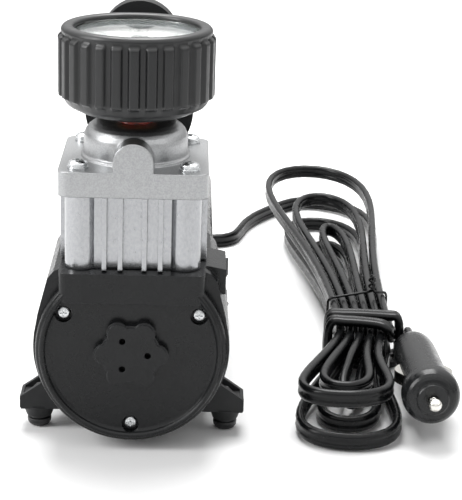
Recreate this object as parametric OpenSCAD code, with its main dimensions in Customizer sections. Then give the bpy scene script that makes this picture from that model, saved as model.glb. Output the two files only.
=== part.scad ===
// Portable 12 V tire inflator: a direct-drive piston compressor with a gauge on its
// head, a carry handle over the motor, and a coiled power cord with a lighter plug.
// Millimetres. +Z up, front cover faces -Y, floor at Z = 0, origin under the middle.

/* [Crankcase] */
// Radius of the round crankcase cover
case_r = 34; // [32:0.5:36]
// Height of the crank axis above the floor
axis_h = 37.5; // [36.5:0.5:42]
// Thickness of the front cover
cover_t = 6; // [5.5:0.5:8]
// Depth of the round recess in the cover's face
recess_d = 1.8; // [1:0.2:2.4]
// Depth of the crankcase from the cover's back to the motor
case_d = 48; // [48:0.5:52]
// Thickness of the wall that carries the front main bearing
bearing_wall_t = 10; // [9:0.5:12]
// Width of the square neck that carries the cylinder
neck_w = 51.4; // [50:0.2:54]
// Height of the cylinder's seat above the crank axis
neck_h = 29.3; // [29.2:0.1:34]
// Bolt circle radius of the cover screws
cover_bolt_r = 27.6; // [26.6:0.2:28]
// How far the air intake cap stands proud of the cover's rim
cap_proud = 1.8; // [1:0.2:3]
// Tip radius of the lobed air intake cap
cap_r = 13.3; // [12:0.1:14]
// Circle radius of the three intake holes
intake_circle_r = 6; // [4.5:0.1:7]
// Diameter of each intake hole
intake_hole_d = 2.4; // [1.5:0.1:3]

/* [Cylinder and head] */
// Cylinder bore
bore_d = 30; // [27:0.5:31]
// Height of the finned cylinder
cyl_h = 26.4; // [24:0.1:30]
// Radius of the four corner columns
column_r = 6; // [5.2:0.1:6.2]
// Spacing of the four head bolts
bolt_span = 38.8; // [37.6:0.2:39.6]
// Thickness of each cooling fin
fin_t = 1.7; // [1:0.1:2.4]
// Width of the square cylinder head
head_w = 52.2; // [50.4:0.2:56]
// Thickness of the head's square plate
head_t = 8.9; // [8:0.1:12]
// Radius of the dome on the head
dome_r = 18.6; // [17.5:0.1:19]
// Height of the dome above the head's plate
dome_h = 12.6; // [11.6:0.2:15]
// Width of the arched lug on the front of the head
lug_w = 14; // [10:0.5:18]

/* [Gauge] */
// Outer diameter of the ribbed rubber boot
boot_d = 55.4; // [54:0.2:60]
// Number of ribs round the boot
boot_ribs = 28; // [20:1:32]
// Height of the boot from its bottom to its lip
boot_h = 30.5; // [29.5:0.1:36]
// Free height between the dome and the boot
stem_gap = 3.8; // [3.6:0.1:7]
// Diameter of the opening that shows the lens
lens_d = 44.2; // [40:0.2:44.6]
// Outer diameter of the metal gauge case
gauge_case_d = 48.8; // [46:0.2:49.2]

/* [Crank train] */
// Piston stroke
stroke = 18; // [12:1:18]
// Crank pin diameter
pin_d = 8; // [6:0.5:9]
// Motor shaft diameter
shaft_d = 6; // [5:0.5:8]
// Outer diameter of the main bearings
bearing_d = 19; // [17:0.5:22]
// Radius of the crank disc
crank_disc_r = 19; // [17:0.5:21]
// Thickness of the crank disc
crank_disc_t = 7.8; // [6:0.2:8]

/* [Motor] */
// Width of the square motor shroud
shroud_w = 58.2; // [57:0.2:64]
// Room in the shroud behind the motor can
fan_room = 22; // [22:1:32]
// Corner radius of the shroud
shroud_round = 10; // [8:0.5:12]
// Wall of the shroud
shroud_wall = 2; // [1.6:0.1:2.4]
// Outer diameter of the motor can
can_d = 51.6; // [50:0.2:52]
// Length of the motor can
can_l = 74; // [72:1:78]
// Thickness of the rear cover
rear_cover_t = 8.2; // [7:0.2:12]
// Number of fan blades
fan_blades = 7; // [5:1:9]
// Number of cooling slots on each side of the shroud
slot_count = 5; // [3:1:6]

/* [Handle] */
// Height of the grip's axis above the crank axis
grip_h = 88.5; // [86:0.5:92]
// Height of the front plate's round top above the crank axis
disc_h = 100.5; // [97:0.5:106]
// Radius of the front plate's round top
plate_top_r = 14.4; // [13:0.1:18]
// Radius of the wide middle of each handle plate
plate_mid_r = 20.3; // [19.5:0.1:22]
// Thickness of each handle plate
plate_t = 8; // [7:0.5:10]
// Radius of the soft grip
grip_r = 11.5; // [9.5:0.1:12]

/* [Feet] */
// Distance between the outer ends of the left and right foot arms
foot_span = 82.4; // [80:0.2:90]
// Width of each foot bracket along the body
bracket_w = 11; // [9:0.5:13]
// Diameter of each rubber foot
foot_d = 8.8; // [8.4:0.2:10]

/* [Switch] */
// Length of the rocker
rocker_l = 16; // [12:0.5:18]
// Height of the rocker
rocker_h = 6.4; // [5:0.2:7]
// Angle that the rocker swings through
rocker_swing = 12; // [6:1:14]

/* [Plug] */
// Diameter of the plug's round nose
plug_d = 21.3; // [20.8:0.1:21.5]
// Diameter of the plug's barrel
barrel_d = 17.2; // [16.6:0.2:18]
// Length from the nose to the back of the barrel
plug_l = 66; // [64:1:74]
// How far the sprung centre pin can be pushed in
pin_travel = 2.5; // [1:0.5:3]
// How far each side contact can be pushed in
contact_travel = 1.2; // [0.6:0.2:1.4]

/* [Cord] */
// Width of the flat two-core cord
cord_w = 6.6; // [6.2:0.1:6.8]
// Thickness of the flat two-core cord
cord_t = 3.4; // [3:0.1:3.5]

/* [Hidden] */
$fn = 72;

// Clearances
fit = 0.03;        // radial clearance of a shaft or pin in its bearing
press = 0.02;      // radial clearance of a piece that is seated for good
free = 0.3;        // gap between a moving piece and its neighbour
screw_gap = 0.1;   // radial clearance of a screw in its hole

// Colours
casting_black = "#2b2c2f";
rubber_black = "#1d1e20";
moulded_black = "#222326";
alloy = "#b9bbbd";
bright_steel = "#cfd1d3";
dull_steel = "#8d9093";
brass = "#b08d4a";
copper = "#9a5a34";

// Stations along Y, measured back from the plane of the cover's rim
motor_y = cover_t + case_d;
wall_y = motor_y - bearing_wall_t;
axis_lead = 1;
cyl_y = (cover_t + motor_y) / 2 - axis_lead;
rod_t = 8;
pin_end_y = cyl_y + rod_t / 2 + free;
disc_y = pin_end_y + free;
can_end_y = motor_y + can_l;
shroud_l = can_l + fan_room;
end_plate_t = 8;
fan_y = can_end_y + end_plate_t + 4;
fan_l = 8;
shroud_end_y = motor_y + shroud_l;
back_y = shroud_end_y + rear_cover_t;
overall_l = cap_proud + back_y;
rim_y = cap_proud - overall_l / 2;

// Heights, measured up from the crank axis
gasket_t = 0.5;
cyl_z = neck_h + gasket_t;
head_z = cyl_z + cyl_h;
head_top_z = head_z + head_t;
dome_top_z = head_top_z + dome_h;
boot_z = dome_top_z + stem_gap;
boot_top_z = boot_z + boot_h;
crown_z = head_z - 0.9;
pin_z = stroke / 2;
shroud_top_z = shroud_w / 2;

// Crankcase
case_flare = 1;            // the body is this much larger in radius than the cover
cavity_r = case_r - 3.2;
rim_w = 4.6;               // from the rim's outer edge to the recess
// The rim's bead and its outer step: distance in from the case's edge, and depth
rim_bead = [
    [3.7, recess_d - 0.5], [3.2, 0.5], [2.7, 0.1], [2.2, 0], [1.7, 0.25], [1.3, 0.8],
    [0.8, 1], [0.4, 1.3], [0, 2.2]
];
chord_z = 18.5;            // the recess ends here in a straight step below the neck
neck_round = 3;
seat_bore_r = bore_d / 2 + 0.3;
boss_r = 3.4;
boss_l = 14;
screw_r = 1.5;
cover_pocket_r = 3.1;
cover_pocket_d = 2.6;
pan_head_r = 2.4;
pan_head_h = 1.7;
filter_r = 8.8;
filter_t = 3;
cover_bolt_angles = [30, 150, 270];

// Cylinder and head
column_at = bolt_span / 2;
bolt_r = 2;
bolt_depth = 5;            // how deep the head bolts reach into the crankcase
column_off = column_at - 1.4;   // the columns stand this far out, level with their bolts or nearly
core_w = 2 * column_off + 8;
fin_at = [4.2, 9.8];
fin_reach = head_w / 2;
plate_pocket_r = bore_d / 2 + 2.1;
valve_plate_t = 1.6;
reed_t = 0.3;
chamber_r = 14.2;
chamber_top = 4.6;         // thickness of the dome over the chamber
dome_round = 6;
dome_step_w = 0.9;
dome_step_h = 0.8;
corner_r = 4;
lug_top_z = 10.4;          // the lug's arch rises this far above the head's plate
bolt_head_r = 3.4;
bolt_head_h = 2.4;
washer_r = 3.7;
washer_t = 0.7;
outlet_z = head_z + head_t / 2;
outlet_r = 4.86;
outlet_root_r = 3.9;
outlet_l = 11;
outlet_hex_r = 6;
outlet_hex_t = 3.2;
outlet_bore_r = 2;
head_back_y = cyl_y + head_w / 2;

// Gauge
stem_r = 4.8;
stem_hex_r = 6.4;
stem_low_z = dome_top_z - chamber_top - 1;
stem_hex_h = 2;
seal_h = 1.5;
seal_r = 6;
boot_floor = 4.7;
boot_lip_t = 1.9;
rib_low = 5.9;
rib_h = boot_h - rib_low - 3.8;
rib_w = 3.8;
rib_proud = 1.4;
gauge_case_r = gauge_case_d / 2;
case_floor_z = boot_z + boot_floor;
case_rim_z = boot_top_z - boot_lip_t - free;
case_metal = 1;
dial_z = case_rim_z - 5.4;
dial_t = 0.6;
lens_t = 1.6;
lens_top_z = case_rim_z - 0.1;
needle_l = 17;
spindle_r = 0.8;

// Crank train
piston_r = bore_d / 2 - 0.15;
seal_cup_r = bore_d / 2 - 0.05;
crown_t = 1.2;
cup_t = 0.8;
skirt_t = 3;
rod_end_r = 11;
rod_w = 8;
rod_web = 6;
rod_bearing_r = pin_d / 2 + 4;
shaft_r = shaft_d / 2;
bearing_w = 5.6;
hub_r = 9;

// Motor
corner_at = 22;
corner_boss_r = 4.4;
armature_r = 17.4;
stack_y = motor_y + 12;
stack_l = can_l - 36;
winding_l = 6;
commutator_r = 8.8;
commutator_y = stack_y + stack_l + winding_l + 4;
commutator_l = 13;
magnet_in_r = 18.4;
can_wall = 1.9;
can_r = can_d / 2;
brush_w = 5;
brush_l = 9;
brush_y = commutator_y + commutator_l / 2;
slot_w = 2.6;
slot_pitch = 5.2;
slot_y = motor_y + 30.4;
vent_count = 12;
fan_r = shroud_w / 2 - 8.1;
slot_h = shroud_w / 2 - 12.1;
gland_at = [10, -21];
gland_r = 4.6;

// Handle
plate_y = [motor_y + 8, shroud_end_y - plate_t];
plate_mid_z = grip_h - 14.5;
window_w = 20;
window_z = [shroud_top_z + 4, 68];
foot_w = 42;
foot_t = 4;
foot_l = 10;
handle_screw_y = [plate_y[0] + plate_t + foot_l / 2, plate_y[1] - foot_l / 2];
tube_r = 5.5;
socket_d = 6;
handle_screw_x = 17;
grip_grooves = 6;

// Feet
arm_top_z = -24.7;
arm_slope = 35;
foot_h = 4.3;
boss_end_z = foot_h - axis_h;
arm_end = [foot_span / 2, foot_span / 2 - 4.2];   // front and rear pair
foot_x = [arm_end[0] - 6.7, arm_end[1] - 5.5];
slot_x = [arm_end[0] - 10.9, arm_end[1] - 9.6];
slot_l = [9.6, 8.2];
foot_y = [23.5, shroud_end_y - 14];
foot_r = foot_d / 2;
foot_neck_r = 2.2;
slot_floor_z = boss_end_z + 8.7;
foot_neck_top = slot_floor_z + axis_h;
bracket_seat = 0.1;
bracket_screw_x = 25.5;
bracket_seat_z = [boss_end_z + 5.6, boss_end_z + 2];
bracket_screw_l = [9.5, 11];
cup_h = 3.6;               // the cup round each rubber foot, below the arm

// Switch
switch_block = [33.2, 28.1];
switch_low_z = 18.8;
switch_y = 14.5;
rocker_pocket_d = 5;
rocker_z = switch_low_z + 1.2 + (rocker_h + 0.4) / 2;
rocker_mid_y = switch_y + rocker_l / 2 + free;
pivot_x = switch_block[0] - 2.6;
pivot_r = 0.9;

module placed(shade) color(shade) translate([0, rim_y, axis_h]) children();

module slab(from, to) translate([0, to, 0]) rotate([90, 0, 0]) linear_extrude(to - from) children();

module rod_y(r, from, to) translate([0, from, 0]) rotate([-90, 0, 0]) cylinder(r = r, h = to - from);

module turned_y() rotate([-90, 0, 0]) rotate_extrude() children();

module ring_2d(r_out, r_in) difference() {
    circle(r_out);
    circle(r_in);
}

module rounded_square(w, r) {
    square([w, w - 2 * r], center = true);
    square([w - 2 * r, w], center = true);
    for (x = [-1, 1], z = [-1, 1]) translate([x * (w / 2 - r), z * (w / 2 - r)]) circle(r);
}

// A pan-head screw with a cross drive; its head's seat lies at Z = 0, shank down
module pan_screw(head_r, head_h, shank_r, shank_l) {
    difference() {
        rotate_extrude() polygon([
            [0, 0], [head_r, 0], [head_r, head_h * 0.45],
            for (a = [20:20:90]) [head_r * cos(a), head_h * (0.45 + 0.55 * sin(a))]
        ]);
        for (turn = [0, 90]) rotate(turn) translate([0, 0, head_h])
            cube([head_r * 1.1, head_r * 0.28, head_h], center = true);
    }
    translate([0, 0, -shank_l]) cylinder(r = shank_r, h = shank_l);
}

module at_bolts(spread = column_at) for (x = [-1, 1], y = [-1, 1])
    translate([x * spread, cyl_y + y * spread, 0]) children();

// ---- Crankcase ----

module cover_bolt_circle() for (a = cover_bolt_angles)
    translate([cover_bolt_r * cos(a), 0, cover_bolt_r * sin(a)]) children();

module crankcase_cover() placed(casting_black) below_seat() difference() {
    union() {
        turned_y() polygon([
            [0, recess_d], [case_r - rim_w, recess_d],
            for (p = rim_bead) [case_r - p[0], p[1]],
            [case_r, cover_t], [0, cover_t]
        ]);
        translate([0, 0, chord_z]) linear_extrude(neck_h - chord_z) {
            translate([-neck_w / 2 + neck_round, 0]) square([neck_w - 2 * neck_round, cover_t]);
            translate([-neck_w / 2, neck_round]) square([neck_w, cover_t - neck_round]);
            for (x = [-1, 1]) translate([x * (neck_w / 2 - neck_round), neck_round]) circle(neck_round);
        }
    }
    cover_bolt_circle() {
        rod_y(screw_r + screw_gap, 0, cover_t + 1);
        rod_y(cover_pocket_r, -1, recess_d + cover_pocket_d);
    }
    rod_y(filter_r + free, recess_d - 1, recess_d + filter_t + 0.2);
    rod_y(filter_r - 2, recess_d, cover_t + 1);
}

module cover_screws() placed(bright_steel) cover_bolt_circle()
    translate([0, recess_d + cover_pocket_d, 0]) rotate([90, 0, 0])
    pan_screw(pan_head_r, pan_head_h, screw_r, cover_t - recess_d - cover_pocket_d + boss_l - 4);

module cap_outline(r) {
    circle(r - 2.5);
    for (a = [0:60:300]) rotate(a) translate([r - 3.9, 0]) circle(3.9);
}

module intake_cap() placed(casting_black) difference() {
    union() {
        slab(-cap_proud, recess_d) cap_outline(cap_r - 0.7);
        slab(-cap_proud + 0.7, recess_d) cap_outline(cap_r);
    }
    for (a = [0, 120, 240]) translate([intake_circle_r * cos(a), 0, intake_circle_r * sin(a)])
        rod_y(intake_hole_d / 2, -cap_proud - 1, recess_d + 1);
}

module intake_filter() placed("#c9c4b4") rod_y(filter_r, recess_d, recess_d + filter_t);

// Cuts away all above the flat seat of the cylinder
module below_seat() difference() {
    children();
    translate([-case_r, -1, neck_h]) cube([2 * case_r, motor_y + 2, 2 * case_flare + case_r - neck_h + 1]);
}

module case_outline() {
    circle(case_r + case_flare);
    for (side = [-1, 1]) scale([side, 1]) polygon([
        [0, 0], [case_r + case_flare - 0.35, 5], [33.4, 12], [31, 21.4], [29.9, 25.4], [27.7, 28.2],
        [neck_w / 2, 29.1], [neck_w / 2, neck_h], [0, neck_h]
    ]);
}

module switch_block_outline() polygon([
    [switch_block[0] - 9, switch_low_z], [switch_block[0], switch_low_z], switch_block,
    [switch_block[0] - 5.8, neck_h], [switch_block[0] - 9, neck_h]
]);

module crankcase_body() placed(casting_black) below_seat() difference() {
    union() {
        difference() {
            union() {
                slab(cover_t, motor_y) case_outline();
                slab(switch_y - 2.5, switch_y + rocker_l + 2 * free + 2.5) switch_block_outline();
            }
            rod_y(cavity_r, cover_t - 1, wall_y);
        }
        cover_bolt_circle() rod_y(boss_r, cover_t, cover_t + boss_l);
    }
    translate([0, cyl_y, 0]) cylinder(r = seat_bore_r, h = neck_h + 1);
    cover_bolt_circle() rod_y(screw_r + screw_gap, cover_t - 1, cover_t + boss_l - 2);
    at_bolts() translate([0, 0, neck_h - bolt_depth - 1])
        cylinder(r = bolt_r + screw_gap, h = bolt_depth + 2);
    rod_y(bearing_d / 2 + press, wall_y - 1, wall_y + bearing_w + 0.4);
    rod_y(shaft_r + 1, wall_y, motor_y + 1);
    translate([switch_block[0] - rocker_pocket_d, switch_y, rocker_z - rocker_h / 2 - 0.2])
        cube([rocker_pocket_d + 2, rocker_l + 2 * free, rocker_h + 0.4]);
    for (x = [-1, 1]) translate([x * bracket_screw_x, foot_y[0], boss_end_z])
        cylinder(r = screw_r + screw_gap, h = 15.4);
}

module base_gasket() placed("#3c3d40") translate([0, 0, neck_h]) linear_extrude(gasket_t) difference() {
    union() {
        translate([0, cyl_y]) square(core_w, center = true);
        at_bolts(column_off) circle(column_r);
    }
    translate([0, cyl_y]) circle(seat_bore_r);
    at_bolts() circle(bolt_r + screw_gap);
}

// ---- Cylinder and head ----

module cylinder_block() placed(alloy) translate([0, 0, cyl_z]) linear_extrude(cyl_h) difference() {
    union() {
        translate([0, cyl_y]) square(core_w, center = true);
        at_bolts(column_off) circle(column_r);
        translate([0, cyl_y]) for (turn = [0, 90], at = fin_at, side = [-1, 1]) rotate(turn)
            translate([side * at, 0]) square([fin_t, 2 * fin_reach], center = true);
    }
    translate([0, cyl_y]) circle(bore_d / 2);
    at_bolts() circle(bolt_r + screw_gap);
}

module valve_plate() placed(dull_steel) translate([0, cyl_y, head_z]) difference() {
    cylinder(r = plate_pocket_r - 0.1, h = valve_plate_t);
    translate([5, 0, -1]) cylinder(r = 2.2, h = valve_plate_t + 2);
}

module discharge_reed() placed(bright_steel) translate([0, cyl_y, head_z + valve_plate_t])
    linear_extrude(reed_t) {
        translate([5, 0]) circle(3.2);
        translate([-8, -2]) square([12, 4]);
        translate([-8, 0]) circle(3);
    }

module head_outline() translate([0, cyl_y]) rounded_square(head_w, corner_r);

module cylinder_head() placed(alloy) difference() {
    union() {
        translate([0, 0, head_z]) linear_extrude(head_t) head_outline();
        translate([0, cyl_y, head_top_z]) rotate_extrude() polygon([
            [0, 0], [dome_r + dome_step_w, 0], [dome_r + dome_step_w, dome_step_h],
            [dome_r, dome_step_h + 0.5],
            for (a = [0:15:90]) [
                dome_r - dome_round * (1 - cos(a)),
                dome_h - dome_round * (1 - sin(a))
            ],
            [0, dome_h]
        ]);
        slab(cyl_y - head_w / 2, cyl_y - chamber_r / 2) {
            translate([-lug_w / 2, head_z + 1]) square([lug_w, head_t - 1 + lug_top_z - lug_w / 2]);
            translate([0, head_top_z + lug_top_z - lug_w / 2]) circle(lug_w / 2);
        }
    }
    translate([0, cyl_y, head_z - 1]) cylinder(r = plate_pocket_r, h = valve_plate_t + 1);
    translate([0, cyl_y, head_z]) cylinder(r = chamber_r, h = dome_top_z - head_z - chamber_top);
    translate([0, cyl_y, head_z]) cylinder(r = stem_r + screw_gap, h = dome_top_z - head_z + 1);
    translate([0, 0, outlet_z]) rod_y(outlet_root_r + screw_gap, cyl_y + chamber_r / 2, head_back_y + 1);
    at_bolts() translate([0, 0, head_z - 1]) cylinder(r = bolt_r + screw_gap, h = head_t + 2);
}

module head_screws() placed(bright_steel) at_bolts() {
    translate([0, 0, head_top_z + washer_t])
        pan_screw(bolt_head_r, bolt_head_h, bolt_r, head_top_z + washer_t - neck_h + bolt_depth);
    translate([0, 0, head_top_z]) cylinder(r = washer_r, h = washer_t);
}

module outlet_nipple() placed(brass) translate([0, 0, outlet_z]) difference() {
    union() {
        rod_y(outlet_root_r, cyl_y + plate_pocket_r + 0.2, head_back_y);
        rod_y(outlet_hex_r, head_back_y, head_back_y + outlet_hex_t, $fn = 6);
        rod_y(outlet_r, head_back_y + outlet_hex_t, head_back_y + outlet_hex_t + outlet_l);
    }
    rod_y(outlet_bore_r, cyl_y, head_back_y + outlet_hex_t + outlet_l + 1);
}

// ---- Gauge ----

module thread_seal() placed("#8a2b20") translate([0, cyl_y, dome_top_z]) difference() {
    cylinder(r = seal_r, h = seal_h);
    translate([0, 0, -1]) cylinder(r = stem_r + 0.05, h = seal_h + 2);
}

module gauge_stem() placed(brass) translate([0, cyl_y, 0]) {
    translate([0, 0, stem_low_z]) cylinder(r = stem_r, h = case_floor_z + 2.4 - stem_low_z);
    translate([0, 0, dome_top_z + seal_h]) cylinder(r = stem_hex_r, h = stem_hex_h, $fn = 6);
}

module gauge_case() placed(dull_steel) translate([0, cyl_y, 0]) rotate_extrude() polygon([
    [stem_r + 0.1, case_floor_z], [gauge_case_r, case_floor_z], [gauge_case_r, case_rim_z],
    [gauge_case_r - case_metal, case_rim_z], [gauge_case_r - case_metal, dial_z],
    [gauge_case_r - 2 * case_metal, dial_z], [gauge_case_r - 2 * case_metal, case_floor_z + 1.2],
    [stem_r + 0.1, case_floor_z + 1.2]
]);

module gauge_movement() placed(brass) translate([0, cyl_y, case_floor_z]) {
    difference() {
        union() {
            translate([-6, -4.5, 2.4]) cube([12, 9, 10]);
            translate([4, -2.5, 4.4]) cube([12, 5, 5]);
        }
        translate([0, 0, 6]) cylinder(r = spindle_r + fit, h = 10);
    }
    translate([0, 0, 4.6]) rotate(12) rotate_extrude(angle = 250) translate([14.6, 0]) square([1.8, 4.6]);
}

module gauge_dial() placed("#f2f2ee") translate([0, cyl_y, dial_z]) difference() {
    cylinder(r = gauge_case_r - case_metal - 0.1, h = dial_t);
    translate([0, 0, -1]) cylinder(r = 1.6, h = dial_t + 2);
}

module gauge_needle() placed("#1a1a1a") translate([0, cyl_y, 0]) {
    translate([0, 0, case_floor_z + 7]) cylinder(r = spindle_r, h = dial_z - case_floor_z - 7 + dial_t + 1);
    translate([0, 0, dial_z + dial_t + 0.4]) cylinder(r = 2, h = 1.2);
    translate([0, 0, dial_z + dial_t + 0.6]) rotate(225) linear_extrude(0.5)
        polygon([[-5, -1], [-5, 1], [0, 0.9], [needle_l, 0.15], [needle_l, -0.15], [0, -0.9]]);
}

module gauge_lens() placed("#dfe3e6") translate([0, cyl_y, 0]) rotate_extrude() polygon([
    [0, lens_top_z - lens_t], [gauge_case_r - case_metal - 0.8, lens_top_z - lens_t],
    [gauge_case_r - case_metal - 0.8, dial_z + dial_t], [gauge_case_r - case_metal - 0.1, dial_z + dial_t],
    [gauge_case_r - case_metal - 0.1, lens_top_z], [0, lens_top_z]
]);

module gauge_boot() placed(rubber_black) translate([0, cyl_y, 0]) {
    rotate_extrude() polygon([
        [8.5, boot_z], [gauge_case_r - 5.9, boot_z], [gauge_case_r - 4.4, boot_z + 0.4],
        [gauge_case_r, boot_z + 2.6], [boot_d / 2 - 1.8, boot_z + 5.3],
        [boot_d / 2 - rib_proud, boot_z + 6.2],
        [boot_d / 2 - rib_proud, boot_top_z - 2.8],
        for (a = [0:20:100]) [boot_d / 2 - 3.6 + 1.9 * cos(a), boot_top_z - 1.9 + 1.9 * sin(a)],
        [lens_d / 2 + 0.6, boot_top_z - 0.4], [lens_d / 2, boot_top_z - 1],
        [lens_d / 2, boot_top_z - boot_lip_t], [gauge_case_r + free, boot_top_z - boot_lip_t],
        [gauge_case_r + free, case_floor_z], [8.5, case_floor_z]
    ]);
    for (i = [0:boot_ribs - 1]) rotate(i * 360 / boot_ribs)
        translate([boot_d / 2 - rib_proud - 0.8, -rib_w / 2, boot_z + rib_low])
        cube([rib_proud + 0.8, rib_w, rib_h]);
}

// ---- Crank train ----

module ports_and_screw(depth) {
    translate([-6, 0, -depth]) cylinder(r = 1.4, h = depth + 1);
    translate([-6, 4, -depth]) cylinder(r = 1.4, h = depth + 1);
}

module piston() placed(alloy) translate([0, cyl_y, crown_z]) difference() {
    union() {
        translate([0, 0, -crown_t]) cylinder(r = piston_r - 0.6, h = crown_t);
        translate([0, 0, -crown_t - cup_t - 0.1]) cylinder(r = 4, h = cup_t + 0.2);
        translate([0, 0, -crown_t - cup_t - skirt_t]) cylinder(r = piston_r, h = skirt_t);
    }
    ports_and_screw(crown_t + cup_t + skirt_t + 1);
}

module piston_seal() placed("#e8e6dd") translate([0, cyl_y, crown_z - crown_t]) difference() {
    translate([0, 0, -cup_t]) cylinder(r = seal_cup_r, h = cup_t);
    translate([0, 0, -cup_t - 1]) cylinder(r = 4.1, h = cup_t + 2);
    ports_and_screw(cup_t + 1);
}

module intake_reed() placed(bright_steel) translate([0, cyl_y, crown_z]) linear_extrude(reed_t) {
    translate([-9, -2]) square([6, 8]);
    translate([-4, -2]) square([10, 4]);
}

module connecting_rod() placed(alloy) translate([0, cyl_y, 0]) difference() {
    union() {
        translate([-rod_w / 2, -rod_web / 2, pin_z + rod_bearing_r + 1])
            cube([rod_w, rod_web, crown_z - crown_t - cup_t - skirt_t - pin_z - rod_bearing_r - 1]);
        translate([0, 0, pin_z]) rod_y(rod_end_r, -rod_t / 2, rod_t / 2);
    }
    translate([0, 0, pin_z]) rod_y(rod_bearing_r, -rod_t, rod_t);
}

module rod_bearing() placed(bright_steel) translate([0, cyl_y, pin_z]) difference() {
    rod_y(rod_bearing_r - press, -rod_t / 2 + 0.4, rod_t / 2 - 0.4);
    rod_y(pin_d / 2 + press, -rod_t, rod_t);
}

module crank_pin() placed(dull_steel) translate([0, 0, pin_z]) {
    rod_y(pin_d / 2, cyl_y - rod_t / 2, pin_end_y);
    rod_y(pin_d / 2 + 1.2, cyl_y - rod_t / 2 - 1.2, cyl_y - rod_t / 2);
}

module crank_disc() placed(dull_steel) slab(disc_y, disc_y + crank_disc_t) difference() {
    union() {
        circle(hub_r);
        translate([0, pin_z]) circle(pin_d / 2 + 3);
        intersection() {
            circle(crank_disc_r);
            translate([-crank_disc_r, -crank_disc_r]) square([2 * crank_disc_r, crank_disc_r - 2]);
        }
    }
    circle(shaft_r + fit);
    translate([0, pin_z]) circle(pin_d / 2 + press);
}

module motor_shaft() placed(bright_steel) rod_y(shaft_r, disc_y, fan_y + fan_l + 1);

module main_bearings() placed(bright_steel) for (y = [wall_y + 0.2, can_end_y + 0.4]) difference() {
    rod_y(bearing_d / 2, y, y + bearing_w);
    rod_y(shaft_r + fit, y - 1, y + bearing_w + 1);
}

// ---- Motor ----

module armature() {
    placed(dull_steel) slab(stack_y, stack_y + stack_l) difference() {
        circle(armature_r);
        for (i = [0:6]) rotate(i * 360 / 7) translate([armature_r, 0]) square([7, 2.4], center = true);
        circle(shaft_r + fit);
    }
    placed(copper) for (y = [stack_y - winding_l, stack_y + stack_l]) difference() {
        rod_y(armature_r - 2, y, y + winding_l);
        rod_y(shaft_r + 2, y - 1, y + winding_l + 1);
    }
}

module commutator() placed(copper) slab(commutator_y, commutator_y + commutator_l) difference() {
    ring_2d(commutator_r, shaft_r + fit);
    for (i = [0:6]) rotate(i * 360 / 7 + 12) translate([commutator_r, 0]) square([1.6, 0.6], center = true);
}

module cooling_fan() placed(moulded_black) slab(fan_y, fan_y + fan_l) difference() {
    union() {
        circle(shaft_r + 3.4);
        for (i = [0:fan_blades - 1]) rotate(i * 360 / fan_blades) translate([shaft_r + 2, -0.8])
            square([fan_r - shaft_r - 2, 1.6]);
    }
    circle(shaft_r + fit);
}

module magnets() placed("#3a3a3d") for (side = [-1, 1]) rotate([-90, 0, 0])
    translate([0, 0, stack_y - 4]) rotate(side * 90 - 68) rotate_extrude(angle = 136)
    translate([magnet_in_r, 0]) square([can_r - can_wall - magnet_in_r - 0.05, stack_l + 8]);

module motor_can() placed(dull_steel) difference() {
    rod_y(can_r, motor_y, can_end_y);
    rod_y(can_r - can_wall, motor_y + 1.5, can_end_y + 1);
    rod_y(shaft_r + 3, motor_y - 1, motor_y + 2);
}

module brush_tunnel(w, l) translate([0, brush_y, 0]) for (side = [-1, 1])
    translate([side * (commutator_r + free + l / 2), 0, 0]) cube([l, w, w], center = true);

module motor_end_plate() placed(moulded_black) difference() {
    union() {
        rod_y(can_r, can_end_y, can_end_y + end_plate_t);
        difference() {
            brush_tunnel(brush_w + 3, brush_l + 2);
            brush_tunnel(brush_w + 0.2, brush_l + 3);
        }
        for (side = [-1, 1])
            translate([side * (commutator_r + 6) - 3, brush_y + brush_w / 2 + 1.4, -brush_w / 2])
            cube([6, can_end_y - brush_y - brush_w / 2 - 1, brush_w]);
    }
    rod_y(bearing_d / 2 + press, can_end_y - 1, can_end_y + 0.4 + bearing_w);
    rod_y(shaft_r + 1, can_end_y, can_end_y + end_plate_t + 1);
}

module brushes() placed("#2a2a2a") brush_tunnel(brush_w, brush_l);

module shroud_slots() for (side = [-1, 1], i = [0:slot_count - 1])
    translate([side * (shroud_w / 2 - 1), slot_y + i * slot_pitch, 15]) cube([9, slot_w, slot_h], center = true);

module motor_shroud() placed(casting_black) difference() {
    union() {
        slab(motor_y, shroud_end_y) difference() {
            rounded_square(shroud_w, shroud_round);
            rounded_square(shroud_w - 2 * shroud_wall, shroud_round - shroud_wall);
        }
        slab(shroud_end_y - 20, shroud_end_y) for (x = [-1, 1], z = [-1, 1])
            translate([x * corner_at, z * corner_at]) circle(corner_boss_r);
        for (x = [-1, 1], y = handle_screw_y)
            translate([x * handle_screw_x, y, shroud_top_z - shroud_wall - 4.2]) cylinder(r = 4, h = 5);
    }
    for (x = [-1, 1], z = [-1, 1]) translate([x * corner_at, 0, z * corner_at])
        rod_y(screw_r + screw_gap, shroud_end_y - 18, shroud_end_y + 1);
    for (x = [-1, 1], y = handle_screw_y) translate([x * handle_screw_x, y, shroud_top_z - 10])
        cylinder(r = screw_r + screw_gap, h = 12);
    for (x = [-1, 1]) translate([x * bracket_screw_x, foot_y[1], boss_end_z])
        cylinder(r = screw_r + screw_gap, h = 14);
    shroud_slots();
}

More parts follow.
